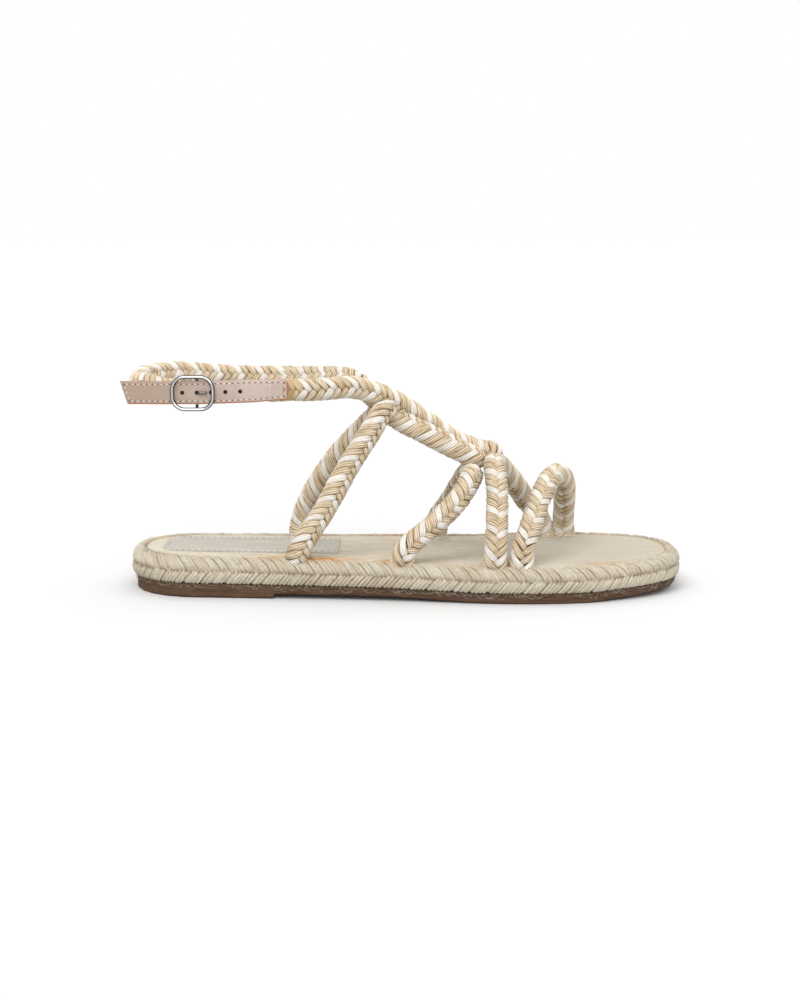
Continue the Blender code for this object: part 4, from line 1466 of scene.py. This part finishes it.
def heel_label(label_finish, thread_finish, hole_shade_finish):
    """Linen label on the footbed, rounded at the heel, sewn down round its edge."""
    x0, x1 = LABEL_X
    straight = LABEL_HALF_WIDTH - LABEL_CORNER

    def lay(u, v, w):
        """Lays the flat grid on the footbed, sunk along its stitching and a little wavy."""
        x = x0 + (x1 - x0) * ((u * MM + 1) / 2) ** 1.35
        into_corner = max(0.0, x0 + LABEL_CORNER - x)
        half = straight + math.sqrt(max(0.0, LABEL_CORNER**2 - into_corner**2))
        y = v * MM * half
        from_edge = min(half - abs(y), x - x0 if abs(y) < straight else LABEL_CORNER, x1 - x)
        lift = LABEL_THICKNESS / 2 + 0.12 - 0.16 * math.exp(-(((from_edge - LABEL_STITCH_INSET) / 0.7) ** 2))
        lift += 0.10 * math.sin(x * 0.31 + y * 0.12) * math.sin(y * 0.35 + 1.0) * min(1.0, from_edge / 4)
        return x, y, footbed_top(x, y) + lift

    start_fresh()
    bpy.ops.mesh.primitive_grid_add(x_subdivisions=90, y_subdivisions=40, size=2)
    cloth = bpy.context.object
    reshape(cloth, lay)
    thicken(cloth, LABEL_THICKNESS)
    settle(cloth, "linen_label", label_finish, 50)
    stands_for(cloth, "heel_patch")

    def spot(x, y):
        return (x, y, footbed_top(x, y) + LABEL_THICKNESS + 0.02), UPWARDS

    inset = LABEL_STITCH_INSET
    turn = LABEL_CORNER - inset
    reach = LABEL_HALF_WIDTH - inset
    route = [(x, reach) for x in np.linspace(x1 - inset, x0 + LABEL_CORNER, 60)]
    for a in np.radians(np.linspace(90, 180, 12)):
        route.append((x0 + LABEL_CORNER + turn * math.cos(a), straight + turn * math.sin(a)))
    route += [(x0 + inset, y) for y in np.linspace(straight, 0, 6)]
    lines = [[spot(x, sign * y) for x, y in route] for sign in (1, -1)]
    lines.append([spot(x1 - inset, y) for y in np.linspace(-reach, reach, 20)])
    sew("label", lines, thread_finish, hole_shade_finish, LABEL_STITCH_PITCH)


def hardware_and_leather():
    """All pieces of leather, steel, label and rubber."""
    hide, paint, hole_shade = leather(), painted_edge(), dark_hole()
    waxed = thread("thread", 0.6, WAXED_DARK, WAXED_LIGHT)
    pale = thread("linen_thread", 0.8, PALE_DARK, PALE_LIGHT)
    tongue(hide, paint)
    sew("tongue", tongue_lines(), waxed, hole_shade, STITCH_PITCH)
    hole_shadow_discs(hole_shade)
    # The prong's steel is painted darker as a painted reflection.
    buckle(steel("steel", *STEEL_GREYS), steel("prong_painted_dark_steel", *PRONG_PAINTED_DARK_GREYS))
    fold(hide, paint)
    heel_label(label_linen(), pale, hole_shade)
    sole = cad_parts["outsole"]
    sole.data.materials.clear()
    sole.data.materials.append(rubber())


# Studio


FLOOR_SIZE = 12
CAMERA_X = -2.75
CAMERA_BACK = 845.0
CAMERA_UP = 184.0
CAMERA_PITCH = 9.65
FOCAL_PIXELS = 1820.0
IMAGE_TALL = 1000.0
SENSOR = 36.0
# Soft lights: name, strength, spread in degrees, and the direction that the light comes from.
SUNS = (
    ("key", 1.6, 35.0, (-0.35, -0.6, 1.0)),
    ("top", 0.6, 50.0, (0.3, 0.25, 1.0)),
    ("front", 1.4, 45.0, (0.15, -1.0, 0.5)),
)


def surround():
    """White surround."""
    world = bpy.data.worlds.new("studio")
    bpy.context.scene.world = world
    bpy.context.scene.view_settings.view_transform = "Standard"
    world.use_nodes = True
    back = world.node_tree.nodes["Background"]
    back.inputs["Color"].default_value = (1, 1, 1, 1)
    back.inputs["Strength"].default_value = 1.0


def studio():
    """Floor, soft light and the camera at the photograph's angle."""
    start_fresh()
    bpy.ops.mesh.primitive_plane_add(size=FLOOR_SIZE)
    floor = bpy.context.object
    floor.name = "floor"
    floor.data.materials.append(pale_floor())
    surround()
    for name, strength, spread, source in SUNS:
        lamp = bpy.data.lights.new(name, "SUN")
        lamp.energy = strength
        lamp.angle = math.radians(spread)
        obj = bpy.data.objects.new(name, lamp)
        obj.rotation_euler = Vector(source).to_track_quat("Z", "Y").to_euler()
        bpy.context.scene.collection.objects.link(obj)
    lens = bpy.data.cameras.new("camera")
    lens.sensor_width = SENSOR
    lens.lens = FOCAL_PIXELS / IMAGE_TALL * SENSOR
    lens.clip_start = 0.02
    lens.clip_end = 50
    camera = bpy.data.objects.new("camera", lens)
    camera.location = (CAMERA_X * MM, -CAMERA_BACK * MM, CAMERA_UP * MM)
    camera.rotation_euler = (math.radians(90 - CAMERA_PITCH), 0, 0)
    bpy.context.scene.collection.objects.link(camera)
    bpy.context.scene.camera = camera


studio()
all_cords()
jute_yarn = jute()
jute_rim(jute_yarn, jute_body())
footbed(linen())
stray_fibres(jute_yarn)
hardware_and_leather()
